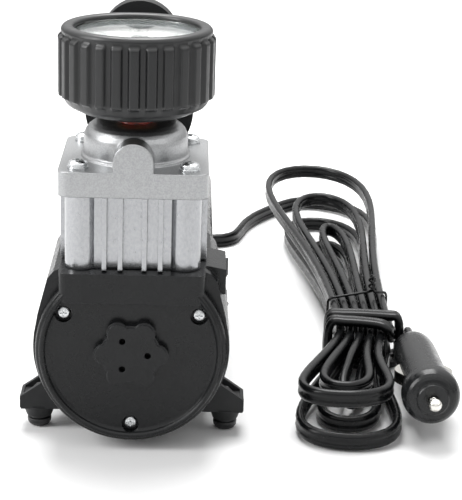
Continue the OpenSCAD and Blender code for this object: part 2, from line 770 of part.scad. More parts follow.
module rear_cover() placed(casting_black) difference() {
    union() {
        slab(shroud_end_y, back_y - 2) rounded_square(shroud_w, shroud_round);
        slab(shroud_end_y, back_y) rounded_square(shroud_w - 3, shroud_round - 1.5);
    }
    slab(shroud_end_y - 1, back_y - 2.4) circle(24);
    for (i = [0:vent_count - 1]) rotate([0, i * 360 / vent_count, 0])
        translate([12.5, back_y, 0]) cube([9, 8, 2.6], center = true);
    translate([gland_at[0], 0, gland_at[1]]) rod_y(gland_r + 0.1, shroud_end_y - 1, back_y + 1);
    for (x = [-1, 1], z = [-1, 1]) translate([x * corner_at, 0, z * corner_at]) {
        rod_y(screw_r + screw_gap, shroud_end_y - 1, back_y + 1);
        rod_y(pan_head_r + 0.5, back_y - 3.2, back_y + 1);
    }
}

// ---- Handle ----

module plate_outline(top_h, top_r) {
    tangent = asin((plate_mid_r - top_r) / (top_h - plate_mid_z));
    translate([0, top_h]) circle(top_r);
    translate([0, plate_mid_z]) circle(plate_mid_r);
    polygon([for (end = [[top_r, top_h, 1], [plate_mid_r, plate_mid_z, 1],
        [plate_mid_r, plate_mid_z, -1], [top_r, top_h, -1]])
        [end[2] * end[0] * cos(tangent), end[1] + end[0] * sin(tangent)]]);
    polygon([
        [-foot_w / 2, shroud_top_z], [foot_w / 2, shroud_top_z], [foot_w / 2, shroud_top_z + foot_t],
        [foot_w / 2 - 3.5, shroud_top_z + foot_t + 14], [18.6, window_z[1]], [-18.6, window_z[1]],
        [3.5 - foot_w / 2, shroud_top_z + foot_t + 14], [-foot_w / 2, shroud_top_z + foot_t]
    ]);
}

// One end plate of the handle; its foot reaches towards the handle's middle
module handle_plate(y, foot_y_mid, top_h, top_r) placed(moulded_black) difference() {
    union() {
        slab(y, y + plate_t) plate_outline(top_h, top_r);
        translate([-foot_w / 2, foot_y_mid - foot_l / 2, shroud_top_z]) cube([foot_w, foot_l, foot_t]);
    }
    translate([-window_w / 2, y - foot_l - 1, window_z[0]])
        cube([window_w, plate_t + 2 * foot_l + 2, window_z[1] - window_z[0]]);
    translate([0, 0, grip_h]) rod_y(tube_r + press, plate_y[0] + plate_t - socket_d, plate_y[1] + socket_d);
    for (x = [-1, 1]) translate([x * handle_screw_x, foot_y_mid, shroud_top_z - 1])
        cylinder(r = screw_r + screw_gap, h = foot_t + 2);
}

module handle_plate_front() handle_plate(plate_y[0], handle_screw_y[0], disc_h, plate_top_r);

module handle_plate_rear() handle_plate(plate_y[1], handle_screw_y[1], grip_h, grip_r + 0.5);

module handle_tube() placed(dull_steel) translate([0, 0, grip_h]) difference() {
    rod_y(tube_r, plate_y[0] + plate_t - socket_d, plate_y[1] + socket_d);
    rod_y(tube_r - 1.2, plate_y[0], plate_y[1] + plate_t);
}

module handle_grip() placed(rubber_black) translate([0, 0, grip_h]) difference() {
    rod_y(grip_r, plate_y[0] + plate_t, plate_y[1]);
    rod_y(tube_r + 0.1, plate_y[0], plate_y[1] + plate_t);
    for (i = [0:grip_grooves - 1]) let(y = (plate_y[0] + plate_t) * (1 - (i + 1) / (grip_grooves + 1))
        + plate_y[1] * (i + 1) / (grip_grooves + 1)) difference() {
        rod_y(grip_r + 1, y - 0.9, y + 0.9);
        rod_y(grip_r - 0.8, y - 1, y + 1);
    }
}

// The small screws of the rear cover, the handle and the foot brackets
module body_screws() placed(bright_steel) {
    for (x = [-1, 1], z = [-1, 1]) translate([x * corner_at, back_y - 3.2, z * corner_at]) rotate([-90, 0, 0])
        pan_screw(pan_head_r, pan_head_h, screw_r, rear_cover_t - 3.2 + 14);
    for (x = [-1, 1], y = handle_screw_y) translate([x * handle_screw_x, y, shroud_top_z + foot_t])
        pan_screw(pan_head_r + 0.4, pan_head_h, screw_r, foot_t + shroud_wall + 3.5);
    for (x = [-1, 1], i = [0, 1]) translate([x * bracket_screw_x, foot_y[i], bracket_seat_z[i]])
        rotate([180, 0, 0]) pan_screw(pan_head_r, pan_head_h, screw_r, bracket_screw_l[i]);
}

// ---- Feet ----

module arm_outline(end) for (side = [-1, 1]) scale([side, 1]) polygon([
    [end, arm_top_z], [20, arm_top_z + (end - 20) * tan(arm_slope)],
    [20, boss_end_z + cup_h + 0.3], [end - 0.5, boss_end_z + cup_h], [end, boss_end_z + cup_h + 0.8]
]);

module foot_bracket_solid(i) {
    slab(foot_y[i] - bracket_w / 2, foot_y[i] + bracket_w / 2) arm_outline(arm_end[i]);
    for (x = [-1, 1]) translate([x * foot_x[i], foot_y[i], boss_end_z])
        cylinder(r1 = foot_d / 2 + 0.3, r2 = foot_d / 2 + 1.8, h = cup_h + 0.6);
}

module foot_brackets() placed(moulded_black) difference() {
    union() {
        difference() {
            foot_bracket_solid(0);
            rod_y(case_r + case_flare + bracket_seat, cover_t, motor_y);
        }
        difference() {
            union() {
                foot_bracket_solid(1);
                slab(foot_y[1] - bracket_w / 2, foot_y[1] + bracket_w / 2)
                    translate([-30, boss_end_z]) square([60, 12]);
            }
            slab(motor_y, shroud_end_y)
                rounded_square(shroud_w + 2 * bracket_seat, shroud_round + bracket_seat);
        }
    }
    for (x = [-1, 1], i = [0, 1]) {
        translate([x * foot_x[i], foot_y[i], boss_end_z - 1])
            cylinder(r = foot_neck_r + screw_gap, h = 12);
        scale([x, 1, 1]) translate([slot_x[i], foot_y[i] - bracket_w / 2 + 2, slot_floor_z])
            cube([slot_l[i], bracket_w - 4, 20]);
        translate([x * bracket_screw_x, foot_y[i], bracket_seat_z[i] - 7])
            cylinder(r = pan_head_r + 0.4, h = 7);
        translate([x * bracket_screw_x, foot_y[i], boss_end_z]) cylinder(r = screw_r + screw_gap, h = 15);
    }
}

module rubber_feet() placed(rubber_black) for (x = [-1, 1], i = [0, 1])
    translate([x * foot_x[i], foot_y[i], -axis_h]) rotate_extrude() polygon([
        [0, 0], [foot_r - 1.6, 0], [foot_r - 0.7, 0.6], [foot_r - 0.15, 1.5], [foot_r, 2.3],
        [foot_r, 3.1], [foot_r - 0.7, 3.5], [foot_r - 0.7, foot_h],
        [foot_neck_r, foot_h], [foot_neck_r, foot_neck_top], [foot_neck_r + 0.7, foot_neck_top],
        [foot_neck_r + 0.4, foot_neck_top + 1.2], [1, foot_neck_top + 3], [0, foot_neck_top + 3]
    ]);

// ---- Switch ----

module switch_insert() placed(moulded_black) {
    translate([switch_block[0] - rocker_pocket_d, switch_y + 0.1, rocker_z - rocker_h / 2 - 0.1])
        cube([0.9, rocker_l + 2 * free - 0.2, rocker_h + 0.2]);
    translate([pivot_x, rocker_mid_y, rocker_z - rocker_h / 2 - 0.2])
        cylinder(r = pivot_r, h = rocker_h + 0.4);
}

module switch_rocker() placed(moulded_black)
    translate([pivot_x, rocker_mid_y, rocker_z - rocker_h / 2])
    rotate(-rocker_swing / 2) linear_extrude(rocker_h) difference() {
        polygon([
            [-0.4, 1 - rocker_l / 2], [0.6, -rocker_l / 2], [2.9, 0.3 - rocker_l / 2], [2.1, 0],
            [2.9, rocker_l / 2 - 0.3], [0.6, rocker_l / 2], [-0.4, rocker_l / 2 - 1],
            [-1.2, 2], [-1.2, -2]
        ]);
        circle(pivot_r + fit);
    }

// ---- Cord ----

gland_l = 18;
lead_start = [gland_at[0], rim_y + back_y + gland_l + 0.05, axis_h + gland_at[1]];
hank_turns = 5.25;
hank_mid = [91.5, 11.3];   // where the hank is tied, X and Y
hank_in = 0.4;             // the innermost run's distance from the hank's middle
hank_pitch = 4.1;          // step between neighbouring runs where they are tied
hank_widen = [1.7, 1.7];   // how much wider the step grows towards the ends: lower, upper layer
layer_z = [7, 14.7];       // heights of the two layers where they are tied
far_reach = [[122, 224], [122, 224]];    // shortest and longest loop towards +Y, by layer
near_reach = [52, 94];     // shortest and longest loop towards -Y
far_bulge = [[0.8, 14], [0.8, 14]];      // half-widths that the far loops swell by, by layer
near_bulge = [1.5, 8.5];   // half-widths that the near loops swell by
far_lean = [8, 12];        // sideways lean of the far loops, lower and upper layer
near_lean = 15.2;          // sideways lean of the near loops
near_lean_y = 37.5;        // distance from the tie at which half of that lean is reached
far_rise = [-3.4, -3.4, -3.4, 1, 5, 9];    // how far each far loop's end lies above its layer
near_rise = [-3.4, -3.4, -2, 1, 4];        // the same for the near loops
rings_per_turn = 24;
lead_route = [
    lead_start, lead_start + [0, 6.45, 0], [11, 118, 12.4], [13, 131, 7], [17, 146, 4],
    [24, 159, 3.4], [31, 165.5, 3.4], [37.5, 175.5, 3.4], [45, 191, 3.4], [53, 208, 3.4],
    [61, 221.5, 3.4], [69, 231, 3.4], [76, 236.2, 3.45], [83.1, 235.6, 3.55]
];
// Each step of the tail is a point and the direction of the cord's width there
tail_route = [
    [[102.66, 11.1, 14.7], [0, 0, 1]], [[102.7, 7, 14.8], [0, 0, 1]], [[102.5, 3.2, 16.4], [0, 0.4, 1]],
    [[100.6, 1.3, 19.6], [0, 1, 0.2]], [[96.5, 2.8, 20.9], [0, 1, 0]], [[84, 6.2, 20.6], [0, 1, 0]],
    [[78.2, 6.9, 19.7], [0, 1, 0]], [[76.9, 7.2, 11], [0, 1, 0]], [[78, 7.4, 2.9], [0, 1, 0]],
    [[84, 7.7, 1.72], [0, 1, 0]], [[101, 8.7, 1.72], [0, 1, 0]], [[106, 9.8, 3.2], [0, 1, 0]],
    [[106.5, 11.3, 11], [0, 1, 0]], [[106, 12.7, 19.6], [0, 1, 0]], [[100.5, 13.8, 20.5], [0, 1, 0]],
    [[84, 14.9, 20.5], [0, 1, 0]], [[78.4, 15, 19.5], [0, 1, 0]], [[77.9, 15.1, 11], [0, 1, 0]],
    [[78.9, 15.2, 2.9], [0, 1, 0]], [[84, 15.4, 1.72], [0, 1, 0]], [[101, 16.3, 1.72], [0, 1, 0]],
    [[107.8, 17.4, 3.2], [0, 1, 0]], [[110.4, 17.9, 7.6], [0, 1, 0.25]],
    [[110.8, 15.3, 11.6], [0, 0.75, 0.65]], [[110.5, 9.4, 12.85], [0, 0.1, 1]],
    [[110, 2.75, 13.33], [0, 0, 1]]
];
tie_at = [92.4, 43, 10.9];
tie_size = [31, 18.2];     // width and height of the wire loop round the hank
tie_skew = 5;              // the loop's right side lies this far behind its middle
tie_wire_r = 0.8;
tie_twist_at = 6;          // the twisted ends stand this far right of the loop's middle
plug_at = [109.5, -70.2, 18.8];
plug_tilt = 4.3;           // nose up
plug_turn = 0.4;           // rear towards +X

// Plug, stations measured back from the nose's rounded face
nose_face_r = 5.9;
nose_l = 9.4;
nose_screw_r = 7.4;
nose_screw_l = 5.6;
nose_lip = 1;              // the ring round the pin stands this far out
pin_ball_r = 2.5;
pin_ball_y = -5.5;
pin_stem_r = 1.9;
pin_flange_r = 3;
pin_flange = [3.6, 5];
fuse_y = [12.2, 42];
fuse_r = 3.2;
fuse_cavity_r = 3.5;
contact_y = [21, 37];
contact_w = 4.4;
contact_in = 6.2;
contact_reach = 11;
taper_y = [48, 64];
barrel_rear_r = 7;
relief_in_y = 62;
relief_l = 11;
relief_r = 4.4;

function unit(v) = v / norm(v);
function mix(pair, share) = pair[0] + (pair[1] - pair[0]) * share;

// A smooth curve through the route's points, each stretch cut in steps
function smooth(route, steps) = [
    for (i = [0:len(route) - 2], k = [0:steps - 1]) let(
        a = route[max(i - 1, 0)], b = route[i], c = route[i + 1],
        d = route[min(i + 2, len(route) - 1)], u = k / steps
    ) 0.5 * (2 * b + (c - a) * u + (2 * a - 5 * b + 4 * c - d) * u * u + (3 * b - 3 * c + d - a) * u * u * u),
    route[len(route) - 1]
];

// Height of the runs: they climb from the lower to the upper layer where the spiral turns
function hank_layer(t) = mix(layer_z, max(0, min(1, (t - hank_turns / 2 + 0.18) / 0.22)));
function hank_point(t) = let(
    turn = 90 - 360 * t, s = sin(turn), far = s > 0, share = abs(2 * t / hank_turns - 1),
    layer = t > hank_turns / 2 ? 1 : 0,
    y = mix(far ? far_reach[layer] : near_reach, share) * s,
    widen = hank_widen[far ? layer : 0],
    run = (hank_in + hank_pitch * abs(t - hank_turns / 2)) * cos(turn) * (1 + widen * s * s),
    swell = 1.54 * mix(far ? far_bulge[layer] : near_bulge, share) * sin(2 * turn) * s * abs(s),
    lean = far ? far_lean[layer] * (y / far_reach[layer][1]) ^ 2
        : near_lean * y * y / (y * y + near_lean_y * near_lean_y),
    rise = far ? far_rise[min(floor(t + 0.5), 5)] : near_rise[min(floor(t), 4)]
) [hank_mid[0] + run + swell - lean, hank_mid[1] + y, hank_layer(t) + rise * s * s];
hank_path = [for (i = [0:hank_turns * rings_per_turn]) hank_point(i / rings_per_turn)];

// Least gap between two stretches of the hank, level or upright, on points between its rings
hank_fine = [for (i = [0:len(hank_path) - 2], k = [0:3]) mix([hank_path[i], hank_path[i + 1]], k / 4)];
function stretch_gap(a, b) = max(norm([a[0] - b[0], a[1] - b[1]]) - cord_t, abs(a[2] - b[2]) - cord_w);
echo(hank_gap = min([
    for (i = [0:len(hank_fine) - 1], j = [i + 14:len(hank_fine) - 1]) stretch_gap(hank_fine[i], hank_fine[j])
]));

// Sweeps a flat section along a path; up holds the direction of the section's width
flat_8 = [[1, 0.45], [0.72, 1], [-0.72, 1], [-1, 0.45], [-1, -0.45], [-0.72, -1], [0.72, -1], [1, -0.45]];
flat_6 = [[1, 0], [0.62, 1], [-0.62, 1], [-1, 0], [-0.62, -1], [0.62, -1]];
function path_tangent(path, i) = unit(path[min(i + 1, len(path) - 1)] - path[max(i - 1, 0)]);
function section(p, tangent, up, outline, size) = let(
    w = unit(up - (up * tangent) * tangent), s = cross(tangent, w)
) [for (o = outline) p + w * o[0] * size[0] / 2 + s * o[1] * size[1] / 2];

module swept(path, up, outline, size = [cord_w, cord_t]) {
    sides = len(outline);
    last = len(path) - 1;
    points = [for (i = [0:last]) each section(path[i], path_tangent(path, i), up[i], outline, size)];
    polyhedron(points, [
        for (i = [0:last - 1], k = [0:sides - 1]) let(a = i * sides + k, b = i * sides + (k + 1) % sides)
            each [[a, a + sides, b], [b, a + sides, b + sides]],
        for (k = [1:sides - 2]) each [[0, k, k + 1], [last * sides, last * sides + k + 1, last * sides + k]]
    ], convexity = 10);
}

function on_edge(path) = [for (p = path) [0, 0, 1]];

module cord_gland() placed(rubber_black) translate([gland_at[0], 0, gland_at[1]]) {
    rod_y(gland_r, shroud_end_y + 0.5, back_y);
    rod_y(gland_r + 1.2, back_y, back_y + 1.6);
    rod_y(gland_r - 0.8, back_y + 1.6, back_y + gland_l - 2);
    for (i = [0:3]) rod_y(gland_r - 0.1 - i * 0.15, back_y + 3.4 + i * 3.2, back_y + 5.4 + i * 3.2);
    rod_y(gland_r - 1.1, back_y + gland_l - 2, back_y + gland_l);
}

lead_path = smooth(lead_route, 3);
tail_path = smooth([for (step = tail_route) step[0]], 2);
tail_up = smooth([for (step = tail_route) step[1]], 2);

module cord_lead() color(rubber_black) swept(lead_path, on_edge(lead_path), flat_8);

module cord_hank() color(rubber_black) swept(hank_path, on_edge(hank_path), flat_6);

module cord_tail() color(rubber_black) swept(tail_path, tail_up, flat_8);

// A wire loop round the hank; its two ends are twisted round each other and stand up
function tie_end(side, k) = tie_at + [
    tie_twist_at + side * 1.15 * cos(60 * k), side * 1.15 * sin(60 * k), tie_size[1] / 2 + 1.4 + k * 0.9
];
function square_off(v) = sign(v) * abs(v) ^ 0.36;
tie_path = [
    for (k = [8:-1:0]) tie_end(-1, k),
    for (a = [110:20:410])
        tie_at + [square_off(cos(a)) * tie_size[0] / 2, square_off(cos(a)) * tie_skew,
            square_off(sin(a)) * tie_size[1] / 2],
    for (k = [0:8]) tie_end(1, k)
];
hexagon = [for (a = [0:60:300]) [cos(a), sin(a)]];

module twist_tie() color(dull_steel)
    swept(tie_path, [for (p = tie_path) [0.1, 1, 0.1]], hexagon, 2 * [tie_wire_r, tie_wire_r]);

// ---- Plug ----

module plugged(shade) color(shade) translate(plug_at) rotate([-plug_tilt, 0, -plug_turn]) children();

module plug_nose() plugged(moulded_black) difference() {
    union() {
        turned_y() polygon([
            [0, -nose_lip], [nose_face_r - 0.4, -nose_lip], [nose_face_r, -0.6], [nose_face_r + 0.1, 0.2],
            for (a = [0:15:90]) [
                nose_face_r + 0.6 + (plug_d / 2 - nose_face_r - 0.6) * sin(a),
                0.4 + 5.2 * (1 - cos(a))
            ],
            [plug_d / 2, nose_l - 0.5], [plug_d / 2 - 0.5, nose_l], [0, nose_l]
        ]);
        rod_y(nose_screw_r, nose_l - 1, nose_l + nose_screw_l);
    }
    rod_y(pin_stem_r + free / 2, -nose_lip - 1, nose_l);
    rod_y(pin_flange_r + 0.4, pin_flange[0] - 0.4, nose_l + nose_screw_l + 1);
}

module plug_barrel() plugged(moulded_black) difference() {
    turned_y() polygon([
        [0, nose_l], [barrel_d / 2, nose_l], [barrel_d / 2, taper_y[0]],
        for (a = [0:15:75]) let(share = sin(a)) [
            barrel_d / 2 + (barrel_rear_r - barrel_d / 2) * (1 - cos(a)),
            taper_y[0] + (taper_y[1] - taper_y[0]) * share
        ],
        [barrel_rear_r, taper_y[1]], [barrel_rear_r - 0.6, plug_l - 0.6],
        [barrel_rear_r - 2, plug_l], [0, plug_l]
    ]);
    rod_y(nose_screw_r + press, nose_l - 1, nose_l + nose_screw_l + 0.2);
    rod_y(fuse_cavity_r, nose_l, fuse_y[1] + 1);
    rod_y(relief_r + press, relief_in_y - 0.2, plug_l + 1);
    for (side = [-1, 1]) translate([side * 8.7, (contact_y[0] + contact_y[1]) / 2, 0])
        cube([8, contact_y[1] - contact_y[0] + 2, contact_w + 0.8], center = true);
}

module plug_pin() plugged(bright_steel) turned_y() polygon([
    for (a = [-90:15:45]) [pin_ball_r * cos(a), pin_ball_y + pin_ball_r * sin(a)],
    [pin_stem_r - 0.25, pin_ball_y + 2.1], [pin_stem_r, pin_ball_y + 2.4], [pin_stem_r, pin_flange[0]],
    [pin_flange_r, pin_flange[0]], [pin_flange_r, pin_flange[1]], [0, pin_flange[1]]
]);

// The pin's spring, drawn as a sleeve of its pressed length
module plug_spring() plugged(dull_steel) difference() {
    rod_y(pin_flange_r - 0.1, pin_flange[1] + pin_travel + 0.4, fuse_y[0] - 0.2);
    rod_y(pin_flange_r - 0.8, 0, fuse_y[1]);
}

module plug_fuse() plugged(bright_steel) {
    rod_y(fuse_r - 0.3, fuse_y[0], fuse_y[1]);
    for (y = [fuse_y[0], fuse_y[1] - 6]) rod_y(fuse_r, y, y + 6);
}

// A sprung side contact, bowed outwards
module plug_contact(side) plugged(bright_steel) scale([side, 1, 1])
    translate([0, 0, -contact_w / 2]) linear_extrude(contact_w) polygon([
        [contact_in, contact_y[0]], [barrel_d / 2 - 1, contact_y[0]],
        for (k = [1:7]) [
            barrel_d / 2 - 1 + (contact_reach - barrel_d / 2 + 1) * sin(k * 22.5),
            contact_y[0] + (contact_y[1] - contact_y[0]) * k / 8
        ],
        [barrel_d / 2 - 1, contact_y[1]], [contact_in, contact_y[1]]
    ]);

module plug_contact_left() plug_contact(-1);

module plug_contact_right() plug_contact(1);

module plug_relief() plugged(rubber_black) {
    rod_y(relief_r, relief_in_y, plug_l + 2);
    translate([0, plug_l + 2, 0]) rotate([-90, 0, 0])
        cylinder(r1 = relief_r, r2 = relief_r - 0.6, h = relief_in_y + relief_l - plug_l - 2);
}

crankcase_cover();
cover_screws();
intake_cap();
intake_filter();
crankcase_body();
base_gasket();
cylinder_block();
valve_plate();
discharge_reed();
cylinder_head();
head_screws();
outlet_nipple();
thread_seal();
gauge_stem();
gauge_case();
gauge_movement();
gauge_dial();
gauge_needle();
gauge_lens();
gauge_boot();
piston();
piston_seal();
intake_reed();
connecting_rod();
rod_bearing();
crank_pin();
crank_disc();
motor_shaft();
main_bearings();
armature();
commutator();
cooling_fan();
magnets();
motor_can();
motor_end_plate();
brushes();
motor_shroud();
rear_cover();
handle_plate_front();
handle_plate_rear();
handle_tube();
handle_grip();
body_screws();
foot_brackets();
rubber_feet();
switch_insert();
switch_rocker();
cord_gland();
cord_lead();
cord_hank();
cord_tail();
twist_tie();
plug_nose();
plug_barrel();
plug_pin();
plug_spring();
plug_fuse();
plug_contact_left();
plug_contact_right();
plug_relief();
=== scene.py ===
"""Finishes, soft parts and small details of a portable 12 V tyre inflator."""

from __future__ import annotations

import logging
import math
from dataclasses import dataclass
from enum import Enum
from typing import Any, Iterable, Sequence

import bmesh
import bpy
from mathutils import Matrix, Vector, noise

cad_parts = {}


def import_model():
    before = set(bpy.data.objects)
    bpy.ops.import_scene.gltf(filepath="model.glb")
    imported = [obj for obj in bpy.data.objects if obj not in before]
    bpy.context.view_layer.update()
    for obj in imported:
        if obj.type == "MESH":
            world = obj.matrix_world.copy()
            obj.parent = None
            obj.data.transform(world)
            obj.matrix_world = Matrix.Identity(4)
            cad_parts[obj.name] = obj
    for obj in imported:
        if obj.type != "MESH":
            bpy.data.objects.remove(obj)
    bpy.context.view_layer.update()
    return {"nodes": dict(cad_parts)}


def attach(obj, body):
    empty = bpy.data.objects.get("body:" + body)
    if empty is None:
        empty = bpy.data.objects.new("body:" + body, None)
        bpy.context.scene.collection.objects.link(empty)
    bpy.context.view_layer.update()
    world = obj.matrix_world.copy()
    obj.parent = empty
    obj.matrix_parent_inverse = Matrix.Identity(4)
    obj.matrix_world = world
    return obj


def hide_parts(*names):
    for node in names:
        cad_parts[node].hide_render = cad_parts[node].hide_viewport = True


LOG = logging.getLogger("tyre_inflator")
MM = 0.001

Point = tuple[float, float, float]
Span = tuple[float, float]
Nodes = dict[str, bpy.types.Object]

# Where the upright axis that the cylinder and the gauge share stands, in millimetres.
CYLINDER_Y = -49.2
# The render's width, in pixels.
IMAGE_WIDTH = 462
# The stretch of a noise's range that two tones, and two roughnesses, lie across.
TONE_BAND: Span = (0.38, 0.62)
ROUGHNESS_BAND: Span = (0.3, 0.7)
# How far an edge's softened normal leans, as a cosine, where wear starts and is full.
WEAR_BAND: Span = (0.97, 0.8)
FULL_WEAR = 0.7
BEVEL_SAMPLES = 6


def linear(code: str) -> tuple[float, float, float, float]:
    """Turns an sRGB hex colour into a linear one, by the curve of the sRGB standard.

    Args:
        code: The colour as "#rrggbb".

    Returns:
        Linear red, green and blue, with an alpha of 1.
    """
    parts = [int(code[i : i + 2], 16) / 255 for i in (1, 3, 5)]
    red, green, blue = [
        v / 12.92 if v <= 0.04045 else ((v + 0.055) / 1.055) ** 2.4 for v in parts
    ]
    return red, green, blue, 1.0


def add_node(
    tree: bpy.types.NodeTree,
    kind: str,
    settings: dict[str, Any] | None = None,
    inputs: dict[str | int, Any] | None = None,
) -> bpy.types.Node:
    """Adds one node with its settings and links.

    Args:
        tree: The node tree to add to.
        kind: Blender's name for the node type.
        settings: Attributes to set on the node.
        inputs: Socket name or number to a value, or to an output socket to link from.

    Returns:
        The new node.
    """
    node = tree.nodes.new(kind)
    for name, value in (settings or {}).items():
        setattr(node, name, value)
    for name, value in (inputs or {}).items():
        if isinstance(value, bpy.types.NodeSocket):
            tree.links.new(value, node.inputs[name])
        else:
            node.inputs[name].default_value = value
    return node


def mix(a: float, b: float, share: float) -> float:
    """Returns the value that lies the given share of the way from a to b."""
    return a + (b - a) * share


def smoothstep(low: float, high: float, value: float) -> float:
    """Returns 0 below low, 1 above high, and a smooth rise between them."""
    share = min(1.0, max(0.0, (value - low) / (high - low)))
    return share * share * (3 - 2 * share)


class Grain(Enum):
    """The kinds of fine relief that a surface can have."""

    ROUNDED = "rounded"
    PITTED = "pitted"


@dataclass(frozen=True)
class Finish:
    """What a surface is made of and how it was worked. All lengths are in millimetres.

    The colour drifts between two tones over a patch size, the roughness between two
    values, and the relief is a fine grain over a slower waviness. Edges are softened by
    a small radius, and a worn edge shows a lighter tone. A real grain finer than about
    0.4 mm would be lost in the render, so it is drawn about that coarse.
    """

    name: str
    slot: str
    light: str
    dark: str
    patch: float = 18.0
    metallic: float = 0.0
    smooth: float = 0.4
    rough: float = 0.5
    rough_patch: float = 4.0
    grain: Grain = Grain.ROUNDED
    grain_size: float = 0.5
    grain_depth: float = 0.01
    wave_size: float = 6.0
    wave_depth: float = 0.0
    stretch: Point = (1.0, 1.0, 1.0)
    edge_radius: float = 0.35
    worn_edge: str = ""
    coat: float = 0.0
    coat_roughness: float = 0.1
    sheen: float = 0.0
    specular: float = 0.5

    def material(self) -> bpy.types.Material:
        """Builds the material, or returns it if it was built before.

        Returns:
            The material.
        """
        known = bpy.data.materials.get(self.name)
        if known:
            return known
        material = bpy.data.materials.new(self.name)
        material.use_nodes = True
        tree = material.node_tree
        tree.nodes.clear()
        place = add_node(tree, "ShaderNodeTexCoord").outputs["Object"]
        spread = add_node(
            tree,
            "ShaderNodeMapping",
            {"vector_type": "POINT"},
            {"Vector": place, "Scale": self.stretch},
        ).outputs["Vector"]
        height = self.relief(tree, spread)
        soft = add_node(
            tree,
            "ShaderNodeBevel",
            {"samples": BEVEL_SAMPLES},
            {"Radius": self.edge_radius * MM},
        ).outputs["Normal"]
        bump = add_node(
            tree,
            "ShaderNodeBump",
            None,
            {"Strength": 1.0, "Distance": 1.0, "Height": height, "Normal": soft},
        )
        shader = add_node(
            tree,
            "ShaderNodeBsdfPrincipled",
            None,
            {
                "Base Color": self.colour(tree, spread, soft),
                "Roughness": self.roughness(tree, spread),
                "Normal": bump.outputs["Normal"],
                "Metallic": self.metallic,
                "Coat Weight": self.coat,
                "Coat Roughness": self.coat_roughness,
                "Sheen Weight": self.sheen,
                "Sheen Roughness": 0.5,
                "Specular IOR Level": self.specular,
            },
        )
        add_node(
            tree,
            "ShaderNodeOutputMaterial",
            None,
            {"Surface": shader.outputs["BSDF"]},
        )
        return material

    def colour(
        self,
        tree: bpy.types.NodeTree,
        spread: bpy.types.NodeSocket,
        soft: bpy.types.NodeSocket,
    ) -> bpy.types.NodeSocket:
        """Adds the colour: two tones in patches, with a worn tone along the edges.

        Args:
            tree: The material's tree.
            spread: The position that patterns are read at.
            soft: The softened normal.

        Returns:
            The colour's socket.
        """
        patches = add_node(
            tree,
            "ShaderNodeTexNoise",
            None,
            {
                "Vector": spread,
                "Scale": 1 / (self.patch * MM),
                "Detail": 4.0,
                "Roughness": 0.6,
            },
        )
        tones = add_node(
            tree,
            "ShaderNodeValToRGB",
            None,
            {"Fac": patches.outputs["Fac"]},
        )
        for stop, position, tone in zip(
            tones.color_ramp.elements, TONE_BAND, (self.dark, self.light)
        ):
            stop.position = position
            stop.color = linear(tone)
        if not self.worn_edge:
            return tones.outputs["Color"]
        true_normal = add_node(tree, "ShaderNodeNewGeometry").outputs["True Normal"]
        along = add_node(
            tree,
            "ShaderNodeVectorMath",
            {"operation": "DOT_PRODUCT"},
            {0: soft, 1: true_normal},
        )
        edge = add_node(
            tree,
            "ShaderNodeMapRange",
            None,
            {
                "Value": along.outputs["Value"],
                "From Min": WEAR_BAND[0],
                "From Max": WEAR_BAND[1],
                "To Min": 0.0,
                "To Max": FULL_WEAR,
            },
        )
        worn = add_node(
            tree,
            "ShaderNodeMix",
            {"data_type": "RGBA"},
            {
                0: edge.outputs["Result"],
                6: tones.outputs["Color"],
                7: linear(self.worn_edge),
            },
        )
        return worn.outputs[2]

    def roughness(
        self, tree: bpy.types.NodeTree, spread: bpy.types.NodeSocket
    ) -> bpy.types.NodeSocket:
        """Adds a roughness that drifts between the finish's two values.

        Args:
            tree: The material's tree.
            spread: The position that patterns are read at.

        Returns:
            The roughness's socket.
        """
        patches = add_node(
            tree,
            "ShaderNodeTexNoise",
            None,
            {"Vector": spread, "Scale": 1 / (self.rough_patch * MM), "Detail": 3.0},
        )
        return add_node(
            tree,
            "ShaderNodeMapRange",
            None,
            {
                "Value": patches.outputs["Fac"],
                "From Min": ROUGHNESS_BAND[0],
                "From Max": ROUGHNESS_BAND[1],
                "To Min": self.smooth,
                "To Max": self.rough,
            },
        ).outputs["Result"]

    def relief(
        self, tree: bpy.types.NodeTree, spread: bpy.types.NodeSocket
    ) -> bpy.types.NodeSocket:
        """Adds the height of the fine grain and of the slower waviness, in metres.

        Args:
            tree: The material's tree.
            spread: The position that patterns are read at.

        Returns:
            The height's socket.
        """
        if self.grain is Grain.PITTED:
            fine = add_node(
                tree,
                "ShaderNodeTexVoronoi",
                {"feature": "F1"},
                {"Vector": spread, "Scale": 1 / (self.grain_size * MM)},
            ).outputs["Distance"]
        else:
            fine = add_node(
                tree,
                "ShaderNodeTexNoise",
                None,
                {"Vector": spread, "Scale": 1 / (self.grain_size * MM), "Detail": 2.0},
            ).outputs["Fac"]
        slow = add_node(
            tree,
            "ShaderNodeTexNoise",
            None,
            {"Vector": spread, "Scale": 1 / (self.wave_size * MM), "Detail": 1.0},
        ).outputs["Fac"]
        waves = add_node(
            tree,
            "ShaderNodeMath",
            {"operation": "MULTIPLY"},
            {0: slow, 1: self.wave_depth * MM},
        ).outputs["Value"]
        return add_node(
            tree,
            "ShaderNodeMath",
            {"operation": "MULTIPLY_ADD"},
            {0: fine, 1: self.grain_depth * MM, 2: waves},
        ).outputs["Value"]


# Satin black enamel over a die casting: the casting's slight orange peel shows through
# it, and edges rub to a lighter grey.
SATIN_ENAMEL = Finish(
    "satin_enamel_on_die_casting",
    "painted_casting",
    light="#151617",
    dark="#121314",
    patch=22,
    smooth=0.22,
    rough=0.32,
    grain_size=0.7,
    grain_depth=0.003,
    wave_size=9,
    wave_depth=0.012,
    edge_radius=0.45,
    worn_edge="#3a3b3d",
    specular=0.25,
)
